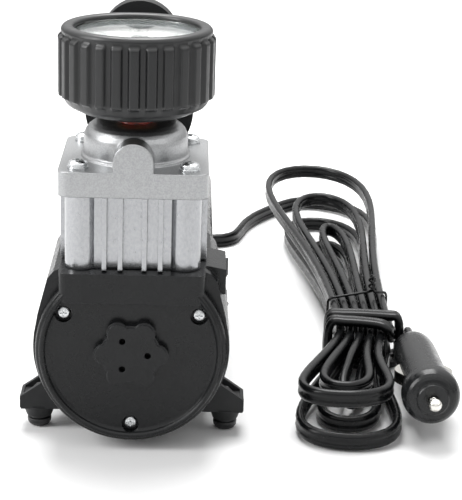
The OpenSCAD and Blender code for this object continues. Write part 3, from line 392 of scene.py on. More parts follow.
# Sand-blasted aluminium casting: a pale, grainy metal whose grains glint one by one.
BLASTED_ALUMINIUM = Finish(
    "blasted_cast_aluminium",
    "cast_alloy",
    light="#a9aaab",
    dark="#9a9b9c",
    patch=0.5,
    metallic=1.0,
    smooth=0.3,
    rough=0.44,
    rough_patch=0.6,
    grain=Grain.PITTED,
    grain_size=0.45,
    grain_depth=0.022,
    wave_size=4,
    wave_depth=0.03,
    edge_radius=0.9,
)
# Extruded aluminium, bright from the die: a clear metal shine with a fine even grain,
# drawn out along the extrusion.
EXTRUDED_ALUMINIUM = Finish(
    "extruded_aluminium",
    "cast_alloy",
    light="#a4a5a7",
    dark="#9b9c9e",
    patch=0.8,
    metallic=1.0,
    smooth=0.18,
    rough=0.28,
    rough_patch=1.2,
    grain_size=0.45,
    grain_depth=0.008,
    wave_size=3,
    wave_depth=0.004,
    stretch=(1.0, 1.0, 0.6),
)
# Bright nickel plate over steel: clear reflections with a few soft scuffs.
NICKEL_PLATE = Finish(
    "bright_nickel_plate",
    "chromed_steel",
    light="#e2e0da",
    dark="#cbc9c3",
    patch=2.0,
    metallic=1.0,
    smooth=0.12,
    rough=0.26,
    rough_patch=1.0,
    grain_size=0.4,
    grain_depth=0.003,
    edge_radius=0.2,
)
# Turned mild steel, oiled: a grey metal with a dull, broken shine.
TURNED_STEEL = Finish(
    "turned_mild_steel",
    "steel",
    light="#9c9ea1",
    dark="#85878a",
    patch=5.0,
    metallic=1.0,
    smooth=0.28,
    rough=0.42,
    grain_size=0.4,
    grain_depth=0.006,
    edge_radius=0.25,
)
# Machined brass with a light tarnish: a warm yellow metal, a little dull.
MACHINED_BRASS = Finish(
    "machined_brass",
    "brass",
    light="#d0ab62",
    dark="#b08c4a",
    patch=4.0,
    metallic=1.0,
    smooth=0.22,
    rough=0.38,
    grain_size=0.4,
    grain_depth=0.005,
    edge_radius=0.2,
)
# Wound and turned copper under a thin varnish: a red-brown metal with a wet top shine.
VARNISHED_COPPER = Finish(
    "varnished_copper",
    "copper",
    light="#b8693f",
    dark="#8e4a2a",
    patch=1.5,
    metallic=1.0,
    smooth=0.25,
    rough=0.4,
    grain_size=0.6,
    grain_depth=0.03,
    edge_radius=0.2,
    coat=0.3,
)
# Glass-filled nylon, moulded in a spark-eroded tool: an even fine grain with little
# shine.
MOULDED_NYLON = Finish(
    "moulded_glass_filled_nylon",
    "moulded_plastic",
    light="#1b1c1d",
    dark="#161718",
    patch=25,
    smooth=0.48,
    rough=0.6,
    grain_size=0.45,
    grain_depth=0.015,
    wave_size=12,
    wave_depth=0.02,
    edge_radius=0.4,
    worn_edge="#28292b",
    specular=0.3,
)
# ABS moulded in a fine-grained tool: a greyer, softer shine than polished plastic.
MOULDED_ABS = Finish(
    "moulded_satin_abs",
    "moulded_plastic",
    light="#191a1b",
    dark="#151617",
    patch=20,
    smooth=0.2,
    rough=0.3,
    grain_size=0.4,
    grain_depth=0.006,
    wave_size=10,
    wave_depth=0.01,
    specular=0.3,
)
# Moulded nitrile rubber: deep black with a broad dull shine on the ribs.
MOULDED_RUBBER = Finish(
    "moulded_nitrile_rubber",
    "rubber",
    light="#141516",
    dark="#101112",
    patch=14,
    smooth=0.3,
    rough=0.42,
    grain_size=0.35,
    grain_depth=0.008,
    wave_size=5,
    wave_depth=0.03,
    edge_radius=0.3,
)
# Extruded PVC cord: a clear highlight runs along each core, broken by small kinks.
EXTRUDED_PVC = Finish(
    "extruded_pvc_cord",
    "rubber",
    light="#0d0e0f",
    dark="#0a0b0c",
    patch=16,
    smooth=0.2,
    rough=0.32,
    rough_patch=9,
    grain_size=0.6,
    grain_depth=0.006,
    wave_size=4,
    wave_depth=0.05,
    edge_radius=0.15,
    specular=0.22,
)
# Closed-cell foam sleeve: tiny pits leave it very matt.
FOAM_SLEEVE = Finish(
    "closed_cell_foam",
    "rubber",
    light="#2c2d2f",
    dark="#222325",
    patch=6,
    smooth=0.75,
    rough=0.9,
    grain=Grain.PITTED,
    grain_size=0.9,
    grain_depth=0.12,
    edge_radius=0.6,
    sheen=0.15,
)
# Silicone thread sealant, smeared and cured: brick red, blotchy and slightly wet.
RED_SEALANT = Finish(
    "cured_silicone_sealant",
    "red_sealant",
    light="#b8341a",
    dark="#5a150a",
    patch=2.5,
    smooth=0.12,
    rough=0.3,
    grain_size=0.8,
    grain_depth=0.05,
    edge_radius=0.2,
)
# Pressed wool felt, coloured near black as painted shade: it leaves the cap's holes
# dark and without any shine.
WOOL_FELT_PAINTED_SHADE = Finish(
    "wool_felt_painted_shade",
    "filter_felt",
    light="#2a2a2a",
    dark="#1f1f1f",
    patch=1.5,
    smooth=0.85,
    rough=0.95,
    grain_size=0.5,
    grain_depth=0.15,
    sheen=0.3,
)
# Graphite-faced gasket sheet: a flat dark grey line between two castings.
GASKET_PAPER = Finish(
    "graphite_gasket_sheet",
    "gasket_paper",
    light="#3c3d3f",
    dark="#323335",
    patch=3,
    smooth=0.7,
    rough=0.85,
    grain_size=0.5,
    grain_depth=0.03,
)
# Skived PTFE sheet: white, waxy and soft-edged.
SKIVED_PTFE = Finish(
    "skived_ptfe",
    "white_plastic",
    light="#eceae4",
    dark="#dfdcd4",
    patch=5,
    smooth=0.35,
    rough=0.45,
    grain_size=0.6,
    grain_depth=0.006,
)
# White enamel on a tin dial: a flat, bright white under the lens.
WHITE_ENAMEL = Finish(
    "white_dial_enamel",
    "dial_face",
    light="#f4f4f1",
    dark="#ecece8",
    patch=12,
    smooth=0.5,
    rough=0.6,
    grain_size=0.5,
    grain_depth=0.002,
    edge_radius=0.1,
)
# Matt black printing ink and needle paint: a thin black with no highlight.
PRINTING_INK = Finish(
    "matt_black_ink",
    "needle_paint",
    light="#1b1b1b",
    dark="#141414",
    patch=3,
    smooth=0.6,
    rough=0.7,
    grain_size=0.4,
    grain_depth=0.002,
    edge_radius=0.05,
)
# Bright zinc plate over rolled threads: a cooler, slightly duller shine than nickel.
ZINC_PLATE = Finish(
    "bright_zinc_plate",
    "chromed_steel",
    light="#d6d8d9",
    dark="#bfc1c2",
    patch=2.0,
    metallic=1.0,
    smooth=0.22,
    rough=0.36,
    rough_patch=1.0,
    grain_size=0.4,
    grain_depth=0.004,
    edge_radius=0.2,
)
# Sintered ferrite, ground on its faces: dull dark grey with small pits.
SINTERED_FERRITE = Finish(
    "sintered_ferrite",
    "magnet",
    light="#3f3f42",
    dark="#303033",
    patch=3,
    smooth=0.5,
    rough=0.65,
    grain=Grain.PITTED,
    grain_size=0.6,
    grain_depth=0.03,
)
# Pressed carbon: a soft black that turns slightly shiny where it rubs.
PRESSED_CARBON = Finish(
    "pressed_carbon",
    "carbon",
    light="#2c2c2d",
    dark="#1f1f20",
    patch=1.5,
    smooth=0.4,
    rough=0.55,
    grain_size=0.4,
    grain_depth=0.02,
)


@dataclass(frozen=True)
class LensFinish:
    """Clear moulded polycarbonate: it shows the room above it over the dial below."""

    name: str = "clear_polycarbonate"
    slot: str = "clear_lens"
    tint: str = "#f6f8f8"
    shadow_tint: str = "#f0f2f2"
    roughness: float = 0.04
    ior: float = 1.58
    ripple_size: float = 9.0
    ripple_depth: float = 0.02

    def material(self) -> bpy.types.Material:
        """Builds the lens's material, with faint moulding ripples in its shine.

        Returns:
            The material.
        """
        known = bpy.data.materials.get(self.name)
        if known:
            return known
        material = bpy.data.materials.new(self.name)
        material.use_nodes = True
        tree = material.node_tree
        tree.nodes.clear()
        place = add_node(tree, "ShaderNodeTexCoord").outputs["Object"]
        ripples = add_node(
            tree,
            "ShaderNodeTexNoise",
            None,
            {"Vector": place, "Scale": 1 / (self.ripple_size * MM), "Detail": 1.0},
        )
        bump = add_node(
            tree,
            "ShaderNodeBump",
            None,
            {"Distance": self.ripple_depth * MM, "Height": ripples.outputs["Fac"]},
        )
        shader = add_node(
            tree,
            "ShaderNodeBsdfPrincipled",
            None,
            {
                "Base Color": linear(self.tint),
                "Roughness": self.roughness,
                "IOR": self.ior,
                "Transmission Weight": 1.0,
                "Normal": bump.outputs["Normal"],
            },
        )
        shading = add_node(tree, "ShaderNodeLightPath").outputs["Is Shadow Ray"]
        clear = add_node(
            tree,
            "ShaderNodeBsdfTransparent",
            None,
            {"Color": linear(self.shadow_tint)},
        )
        lit = add_node(
            tree,
            "ShaderNodeMixShader",
            None,
            {0: shading, 1: shader.outputs["BSDF"], 2: clear.outputs["BSDF"]},
        )
        add_node(tree, "ShaderNodeOutputMaterial", None, {"Surface": lit.outputs[0]})
        return material


CLEAR_LENS = LensFinish()
Surface = Finish | LensFinish


@dataclass(frozen=True)
class SubAssembly:
    """Nodes that belong together and keep their own shape, with the finish of each."""

    name: str
    finishes: tuple[tuple[Surface, tuple[str, ...]], ...]

    def dress(self, nodes: Nodes) -> None:
        """Gives the nodes their finishes.

        Args:
            nodes: The frame's nodes.
        """
        for finish, names in self.finishes:
            for name in names:
                mesh = nodes[name].data
                mesh.materials.clear()
                mesh.materials.append(finish.material())
                LOG.info("%s, node %s: %s", self.name, name, finish.name)


def new_piece(
    name: str,
    points: Iterable[Sequence[float]],
    faces: Iterable[Sequence[int]],
    finish: Surface,
    replaces: Sequence[str] = (),
    smooth: bool = True,
) -> bpy.types.Object:
    """Makes a mesh piece that rides on the machine, from points in millimetres.

    Args:
        name: The piece's name.
        points: Its corners, in millimetres in the row frame.
        faces: Its faces, as corner numbers.
        finish: Its finish.
        replaces: The CAD nodes it stands for.
        smooth: Whether its faces are shaded smooth.

    Returns:
        The new object.
    """
    mesh = bpy.data.meshes.new(name)
    corners_m = [[c * MM for c in point] for point in points]
    mesh.from_pydata(corners_m, [], [list(face) for face in faces])
    mesh.validate()
    build = bmesh.new()
    build.from_mesh(mesh)
    bmesh.ops.recalc_face_normals(build, faces=build.faces)
    build.to_mesh(mesh)
    build.free()
    for polygon in mesh.polygons:
        polygon.use_smooth = smooth
    mesh.materials.append(finish.material())
    piece = bpy.data.objects.new(name, mesh)
    bpy.context.scene.collection.objects.link(piece)
    if replaces:
        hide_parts(*replaces)
    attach(piece, "machine")
    LOG.info("piece %s: %d faces, %s", name, len(mesh.polygons), finish.name)
    return piece


def ring_faces(rows: int, columns: int) -> list[tuple[int, ...]]:
    """Returns the quads that join closed rings of points, laid one after another.

    Args:
        rows: How many rings there are.
        columns: How many points a ring has.

    Returns:
        The quads, as corner numbers.
    """
    return [
        (
            i * columns + k,
            i * columns + (k + 1) % columns,
            (i + 1) * columns + (k + 1) % columns,
            (i + 1) * columns + k,
        )
        for i in range(rows - 1)
        for k in range(columns)
    ]


def smooth_route(route: Sequence[Sequence[float]], steps: int) -> list[Vector]:
    """Returns a smooth curve through a route's points, each stretch cut in steps.

    Args:
        route: The points, in millimetres.
        steps: How many steps each stretch is cut in.

    Returns:
        The curve's points, in millimetres.
    """
    knots = [Vector(p) for p in route]
    curve = []
    for i in range(len(knots) - 1):
        a, b = knots[max(i - 1, 0)], knots[i]
        c, d = knots[i + 1], knots[min(i + 2, len(knots) - 1)]
        for k in range(steps):
            u = k / steps
            curve.append(
                0.5
                * (
                    2 * b
                    + (c - a) * u
                    + (2 * a - 5 * b + 4 * c - d) * u * u
                    + (3 * b - 3 * c + d - a) * u * u * u
                )
            )
    curve.append(knots[-1])
    return curve


def upright_point(reach: float, angle: float, height: float) -> Point:
    """Returns a point by its distance and direction from the cylinder's axis."""
    return reach * math.cos(angle), CYLINDER_Y + reach * math.sin(angle), height


def sweep(
    path: Sequence[Vector],
    ups: Sequence[Vector],
    outline: Sequence[Span],
) -> tuple[list[Vector], list[tuple[int, ...]]]:
    """Sweeps a closed outline along a path.

    Args:
        path: The path's points, in millimetres.
        ups: For each point, the direction of the outline's first coordinate.
        outline: The outline's corners, in millimetres.

    Returns:
        The tube's points and faces, with both ends closed.
    """
    points: list[Vector] = []
    for i, centre in enumerate(path):
        along = (path[min(i + 1, len(path) - 1)] - path[max(i - 1, 0)]).normalized()
        width = (ups[i] - ups[i].dot(along) * along).normalized()
        across = along.cross(width)
        points += [centre + width * w + across * t for w, t in outline]
    count = len(outline)
    faces = ring_faces(len(path), count)
    faces.append(tuple(reversed(range(count))))
    faces.append(tuple(range((len(path) - 1) * count, len(path) * count)))
    return points, faces


@dataclass
class Cord:
    """The flat two-core cord, in one length: its lead, its hank and its two wraps.

    The hank is a flat spiral of long turns. It runs inwards on the lower layer, climbs,
    and runs outwards again on the upper one. Reach is how far a turn goes from the
    middle, bulge how far its end swells sideways, lean how far it drifts to the left,
    and rise how far its end lies above or below its layer. A pair holds the innermost
    and the outermost turn, except that layers and far_lean hold the lower and the upper
    layer, and middle is a place. The climb is counted in turns, and bulge_peak brings
    the bulge's own curve to a height of 1.
    """

    width: float = 6.6
    thickness: float = 3.4
    web: float = 2.1
    core_turn: int = 110
    core_step: int = 20
    turns: float = 5.25
    middle: Span = (91.5, 11.3)
    inner: float = 0.4
    pitch: float = 4.1
    widen: float = 1.7
    layers: Span = (7.0, 14.7)
    climb_before: float = 0.18
    climb_turns: float = 0.22
    far_reach: Span = (122.0, 224.0)
    near_reach: Span = (52.0, 94.0)
    far_bulge: Span = (0.8, 14.0)
    near_bulge: Span = (1.5, 8.5)
    bulge_peak: float = 1.54
    far_lean: Span = (8.0, 12.0)
    near_lean: float = 15.2
    near_lean_y: float = 37.5
    far_rise: tuple[float, ...] = (-3.4, -3.4, -3.4, 1.0, 5.0, 9.0)
    near_rise: tuple[float, ...] = (-3.4, -3.4, -2.0, 1.0, 4.0)
    rings_per_turn: int = 72
    route_steps: int = 8
    lead: tuple[Point, ...] = (
        (10, 98.05, 16.5),
        (10, 104.5, 16.5),
        (11, 118, 12.4),
        (13, 131, 7),
        (17, 146, 4),
        (23, 157.5, 3.4),
        (30, 163.5, 3.4),
        (37.5, 166, 3.4),
        (42.5, 171.5, 3.4),
        (45.5, 181, 3.4),
        (48.5, 192, 3.4),
        (53.5, 204, 3.4),
        (60.5, 215.5, 3.4),
        (68.5, 226.5, 3.4),
        (75.8, 233.4, 3.45),
    )
    tail: tuple[tuple[Point, Point], ...] = (
        ((102.66, 11.1, 14.7), (0, 0, 1)),
        ((102.7, 7, 14.8), (0, 0, 1)),
        ((102.5, 3.2, 16.4), (0, 0.4, 1)),
        ((100.6, 1.3, 19.6), (0, 1, 0.2)),
        ((96.5, 2.8, 20.9), (0, 1, 0)),
        ((84, 6.2, 20.6), (0, 1, 0)),
        ((78.2, 6.9, 19.7), (0, 1, 0)),
        ((76.9, 7.2, 11), (0, 1, 0)),
        ((78, 7.4, 2.9), (0, 1, 0)),
        ((84, 7.7, 1.72), (0, 1, 0)),
        ((101, 8.7, 1.72), (0, 1, 0)),
        ((106, 9.8, 3.2), (0, 1, 0)),
        ((106.5, 11.3, 11), (0, 1, 0)),
        ((106, 12.7, 19.6), (0, 1, 0)),
        ((100.5, 13.8, 20.5), (0, 1, 0)),
        ((84, 14.9, 20.5), (0, 1, 0)),
        ((78.4, 15, 19.5), (0, 1, 0)),
        ((77.9, 15.1, 11), (0, 1, 0)),
        ((78.9, 15.2, 2.9), (0, 1, 0)),
        ((84, 15.4, 1.72), (0, 1, 0)),
        ((101, 16.3, 1.72), (0, 1, 0)),
        ((107.8, 17.4, 3.2), (0, 1, 0)),
        ((110.4, 17.9, 7.6), (0, 1, 0.25)),
        ((110.8, 15.3, 11.6), (0, 0.75, 0.65)),
        ((110.5, 9.4, 12.85), (0, 0.1, 1)),
        ((110, 2.75, 13.33), (0, 0, 1)),
    )

    def hank_point(self, turn: float) -> Vector:
        """Returns the middle of the cord after that many turns of the hank.

        Args:
            turn: How many turns of the hank lie before the point.

        Returns:
            The point, in millimetres.
        """
        angle = math.radians(90 - 360 * turn)
        s = math.sin(angle)
        far = s > 0
        share = abs(2 * turn / self.turns - 1)
        past_middle = turn - self.turns / 2
        reach = self.far_reach if far else self.near_reach
        bulge = self.far_bulge if far else self.near_bulge
        y = mix(*reach, share) * s
        run = (
            (self.inner + self.pitch * abs(past_middle))
            * math.cos(angle)
            * (1 + self.widen * s * s)
        )
        swell = self.bulge_peak * mix(*bulge, share) * math.sin(2 * angle) * s * abs(s)
        if far:
            lean = self.far_lean[past_middle > 0] * (y / reach[1]) ** 2
            rise = self.far_rise[min(int(turn + 0.5), len(self.far_rise) - 1)]
        else:
            lean = self.near_lean * y * y / (y * y + self.near_lean_y**2)
            rise = self.near_rise[min(int(turn), len(self.near_rise) - 1)]
        climb = (past_middle + self.climb_before) / self.climb_turns
        climb = min(1.0, max(0.0, climb))
        return Vector(
            (
                self.middle[0] + run + swell - lean,
                self.middle[1] + y,
                mix(*self.layers, climb) + rise * s * s,
            )
        )

    def path(self) -> tuple[list[Vector], list[Vector]]:
        """Lays the lead, the hank and the two wraps end to end.

        Returns:
            The whole cord's points and, for each, the direction of its width.
        """
        lead = smooth_route((*self.lead, self.hank_point(0)), self.route_steps)[:-1]
        count = round(self.turns * self.rings_per_turn)
        hank = [self.hank_point(i / self.rings_per_turn) for i in range(count + 1)]
        tail = smooth_route([step[0] for step in self.tail], self.route_steps)
        tail_up = smooth_route([step[1] for step in self.tail], self.route_steps)
        upright = Vector((0, 0, 1))
        ups = [upright] * (len(lead) + len(hank)) + tail_up
        return lead + hank + tail, ups

    def outline(self) -> list[Span]:
        """Draws the section: two round cores joined by a thinner web.

        Returns:
            The section's corners, in millimetres, with the width first.
        """
        core = self.thickness / 2
        out = self.width / 2 - core
        half = [
            (out + core * math.cos(math.radians(a)), core * math.sin(math.radians(a)))
            for a in range(-self.core_turn, self.core_turn + 1, self.core_step)
        ]
        web = self.web / 2
        other = [(-w, -t) for w, t in half]
        return half + [(0.0, web)] + other + [(0.0, -web)]

    def build(self, nodes: Nodes) -> None:
        """Args:
            nodes: The frame's nodes. Not used.
        """
        path, ups = self.path()
        points, faces = sweep(path, ups, self.outline())
        cord = new_piece(
            "flat_cord",
            points,
            faces,
            EXTRUDED_PVC,
            replaces=("cord_lead", "cord_hank", "cord_tail"),
        )


@dataclass
class Boot:
    """The ribbed rubber boot round the gauge."""

    outer: float = 55.4
    case: float = 48.8
    opening: float = 44.2
    low: float = 119.0
    high: float = 149.5
    stem_hole: float = 17.2
    wall_low: float = 6.2
    wall_high: float = 2.9
    wall_rows: int = 34
    rim: float = 1.9
    rim_swell: float = 0.35
    rim_angles: tuple[int, ...] = (0, 15, 30, 45, 60, 75, 90, 105)
    ribs: int = 28
    rib_width: float = 3.8
    rib_proud: float = 1.4
    rib_low: float = 5.7
    rib_high: float = 27.2
    rib_edge: Span = (-0.25, 0.55)
    rib_depth: float = 1.5
    steps_per_rib: int = 18

    def wall(self) -> float:
        """Returns the radius of the wall between the ribs."""
        return self.outer / 2 - self.rib_proud

    def profile(self) -> list[Span]:
        """Draws the boot's section, without its ribs.

        Returns:
            Radius and height, up the outside and down into the opening.
        """
        wall, case, opening = self.wall(), self.case / 2, self.opening / 2
        underside = (
            (self.stem_hole / 2, 0.0),
            (case - 6.2, 0.0),
            (case - 5.0, 0.15),
            (case - 3.9, 0.6),
            (case, 2.6),
            (case + 0.8, 3.5),
            (wall - 0.5, 5.0),
            (wall - 0.15, 5.7),
        )
        lip = (
            (opening + 1.2, 0.1),
            (opening + 0.5, 0.3),
            (opening + 0.1, 0.8),
            (opening, 1.3),
            (opening, 1.9),
            (case + 0.2, 1.95),
        )
        lines = [(radius, self.low + rise) for radius, rise in underside]
        start, end = self.low + self.wall_low, self.high - self.wall_high
        for i in range(self.wall_rows):
            lines.append((wall, mix(start, end, i / (self.wall_rows - 1))))
        middle = wall + self.rim_swell - self.rim
        for angle in (math.radians(a) for a in self.rim_angles):
            lines.append(
                (
                    middle + self.rim * math.cos(angle),
                    self.high - self.rim + self.rim * math.sin(angle),
                )
            )
        return lines + [(radius, self.high - drop) for radius, drop in lip]

    def proud(self, arc: float, height: float) -> float:
        """Returns how far a rib stands out at a place on the wall.

        Args:
            arc: Distance from the rib's middle line, round the wall.
            height: Height above the boot's underside.

        Returns:
            The rib's height there.
        """
        half = self.rib_width / 2
        middle = (self.rib_low + self.rib_high) / 2
        reach = (self.rib_high - self.rib_low) / 2 - half
        beyond = max(0.0, abs(height - middle) - reach)
        inside = half - max(arc, beyond)
        return self.rib_proud * smoothstep(*self.rib_edge, inside)

    def build(self) -> None:
        """Makes the boot."""
        profile = self.profile()
        columns = self.ribs * self.steps_per_rib
        wall = self.wall()
        points: list[Point] = []
        for radius, height in profile:
            for k in range(columns):
                angle = 2 * math.pi * k / columns
                phase = (k % self.steps_per_rib) / self.steps_per_rib
                arc = min(phase, 1 - phase) * 2 * math.pi * wall / self.ribs
                reach = radius
                if radius > wall - self.rib_depth:
                    reach += self.proud(arc, height - self.low)
                points.append(upright_point(reach, angle, height))
        new_piece(
            "gauge_boot_ribbed",
            points,
            ring_faces(len(profile), columns),
            MOULDED_RUBBER,
            replaces=("gauge_boot",),
        )


@dataclass
class Dial:
    """The printing on the gauge's dial. Each pair is for a minor and a major mark."""

    height: float = 142.53
    radius: float = 21.2
    zero_at: float = 225.0
    sweep_angle: float = 270.0
    full_scale: int = 150
    minor: int = 5
    major: int = 25
    mark_length: Span = (1.8, 3.4)
    mark_half_width: Span = (0.24, 0.42)
    number_size: float = 4.4
    number_inset: float = 6.0

    def angle(self, value: float) -> float:
        """Returns the direction of a value on the dial, in radians."""
        return math.radians(self.zero_at - self.sweep_angle * value / self.full_scale)

    def build(self) -> None:
        """Makes the scale's marks and numbers."""
        points: list[Point] = []
        faces: list[tuple[int, ...]] = []
        for value in range(0, self.full_scale + 1, self.minor):
            is_major = value % self.major == 0
            inner = self.radius - self.mark_length[is_major]
            half = self.mark_half_width[is_major]
            a = self.angle(value)
            out, side = (math.cos(a), math.sin(a)), (-math.sin(a), math.cos(a))
            start = len(points)
            for reach, w in (
                (inner, -half),
                (self.radius, -half),
                (self.radius, half),
                (inner, half),
            ):
                points.append(
                    (
                        out[0] * reach + side[0] * w,
                        CYLINDER_Y + out[1] * reach + side[1] * w,
                        self.height,
                    )
                )
            faces.append((start, start + 1, start + 2, start + 3))
        new_piece("dial_scale", points, faces, PRINTING_INK, smooth=False)
        for value in range(0, self.full_scale + 1, self.major):
            self.number(value)

    def number(self, value: int) -> None:
        """Makes one of the scale's numbers.

        Args:
            value: The number to show.
        """
        curve = bpy.data.curves.new(f"dial_number_{value}", "FONT")
        curve.body = str(value)
        curve.size = self.number_size * MM
        curve.align_x = "CENTER"
        curve.align_y = "CENTER"
        curve.materials.append(PRINTING_INK.material())
        text = bpy.data.objects.new(curve.name, curve)
        reach = self.radius - self.number_inset
        at = upright_point(reach, self.angle(value), self.height)
        text.location = [c * MM for c in at]
        bpy.context.scene.collection.objects.link(text)
        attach(text, "machine")
        LOG.info("piece %s", text.name)


@dataclass
class Sealant:
    """The bead of thread sealant squeezed out round the gauge's stem.

    Coarse lumps and finer ones, each in turns of noise round the bead, change its width
    and its height by the shares given.
    """

    height: float = 115.25
    inner: float = 4.9
    outer: float = 6.7
    tall: float = 1.9
    columns: int = 72
    rows: int = 14
    coarse_turns: float = 2.2
    coarse_level: float = 0.3
    coarse_share: float = 0.35
    fine_turns: float = 7.0
    fine_width_share: float = 0.12
    fine_height_share: float = 0.15

    def build(self) -> None:
        """Makes the lumpy bead."""
        half = (self.outer - self.inner) / 2
        points: list[Point] = []
        for i in range(self.rows):
            turn = math.pi * i / (self.rows - 1)
            for k in range(self.columns):
                a = 2 * math.pi * k / self.columns
                way = Vector((math.cos(a), math.sin(a), 0))
                level = Vector((0, 0, self.coarse_level))
                coarse = noise.noise(self.coarse_turns * way + level)
                fine = noise.noise(self.fine_turns * way + Vector((0, 0, turn)))
                lumps = 1 + self.coarse_share * coarse
                width = half * (lumps + self.fine_width_share * fine)
                rise = math.sin(turn) * (lumps + self.fine_height_share * fine)
                reach = self.inner + width - width * math.cos(turn)
                height = self.height + self.tall * rise
                points.append(upright_point(reach, a, height))
        new_piece(
            "sealant_bead",
            points,
            ring_faces(self.rows, self.columns),
            RED_SEALANT,
            replaces=("thread_seal",),
        )


@dataclass
class Tie:
    """The thin coated wire that ties the hank, with its two ends twisted together.

    The loop is a rounded box seen from the cord's end. It is open at the top, between
    the two angles, where the wire turns up into its twist.
    """

    middle: Point = (92.2, 43.0, 10.9)
    size: Span = (26.0, 16.4)
    roundness: float = 0.2
    skew: float = 5.0
    wire: float = 0.55
    wire_sides: int = 10
    wire_up: Point = (0.1, 1.0, 0.1)
    loop_angles: tuple[int, int] = (110, 410)
    loop_step: int = 10
    route_steps: int = 2
    twist_at: float = 6.0
    twist_lift: float = 1.4
    twist_radius: float = 1.15
    twist_angle: float = 60.0
    twist_rise: float = 0.9
    twist_points: int = 17

    def twisted_end(self, side: int) -> list[Vector]:
        """Returns one of the two twisted ends, from the loop upwards.

        Args:
            side: -1 for the wire's first end, 1 for its last.

        Returns:
            The end's points, in millimetres.
        """
        x, y, z = self.middle
        points = []
        for step in (k / 2 for k in range(self.twist_points)):
            angle = math.radians(self.twist_angle * step)
            points.append(
                Vector(
                    (
                        x + self.twist_at + side * self.twist_radius * math.cos(angle),
                        y + side * self.twist_radius * math.sin(angle),
                        z + self.size[1] / 2 + self.twist_lift + step * self.twist_rise,
                    )
                )
            )
        return points

    def build(self) -> None:
        """Makes the wire."""
        x, y, z = self.middle
        route = self.twisted_end(-1)[::-1]
        for a in range(self.loop_angles[0], self.loop_angles[1] + 1, self.loop_step):
            c, s = math.cos(math.radians(a)), math.sin(math.radians(a))
            across = math.copysign(abs(c) ** self.roundness, c)
            upward = math.copysign(abs(s) ** self.roundness, s)
            route.append(
                Vector(
                    (
                        x + across * self.size[0] / 2,
                        y + across * self.skew,
                        z + upward * self.size[1] / 2,
                    )
                )
            )
        path = smooth_route(route + self.twisted_end(1), self.route_steps)
        angles = [2 * math.pi * k / self.wire_sides for k in range(self.wire_sides)]
        ring = [(self.wire * math.cos(a), self.wire * math.sin(a)) for a in angles]
        points, faces = sweep(path, [Vector(self.wire_up)] * len(path), ring)
        new_piece("wire_tie", points, faces, EXTRUDED_PVC, replaces=("twist_tie",))


@dataclass(frozen=True)
class Lamp:
    """A soft rectangular lamp, with its lengths in metres and its power in watts."""

    name: str
    at: Point
    aim: Point
    size: Span
    power: float

    def build(self) -> None:
        """Hangs the lamp and turns it to the point that it faces."""
        data = bpy.data.lights.new(self.name, "AREA")
        data.shape = "RECTANGLE"
        data.size, data.size_y = self.size
        data.energy = self.power
        lamp = bpy.data.objects.new(self.name, data)
        lamp.location = self.at
        way = Vector(self.aim) - Vector(self.at)
        lamp.rotation_euler = way.to_track_quat("-Z", "Y").to_euler()
        bpy.context.scene.collection.objects.link(lamp)


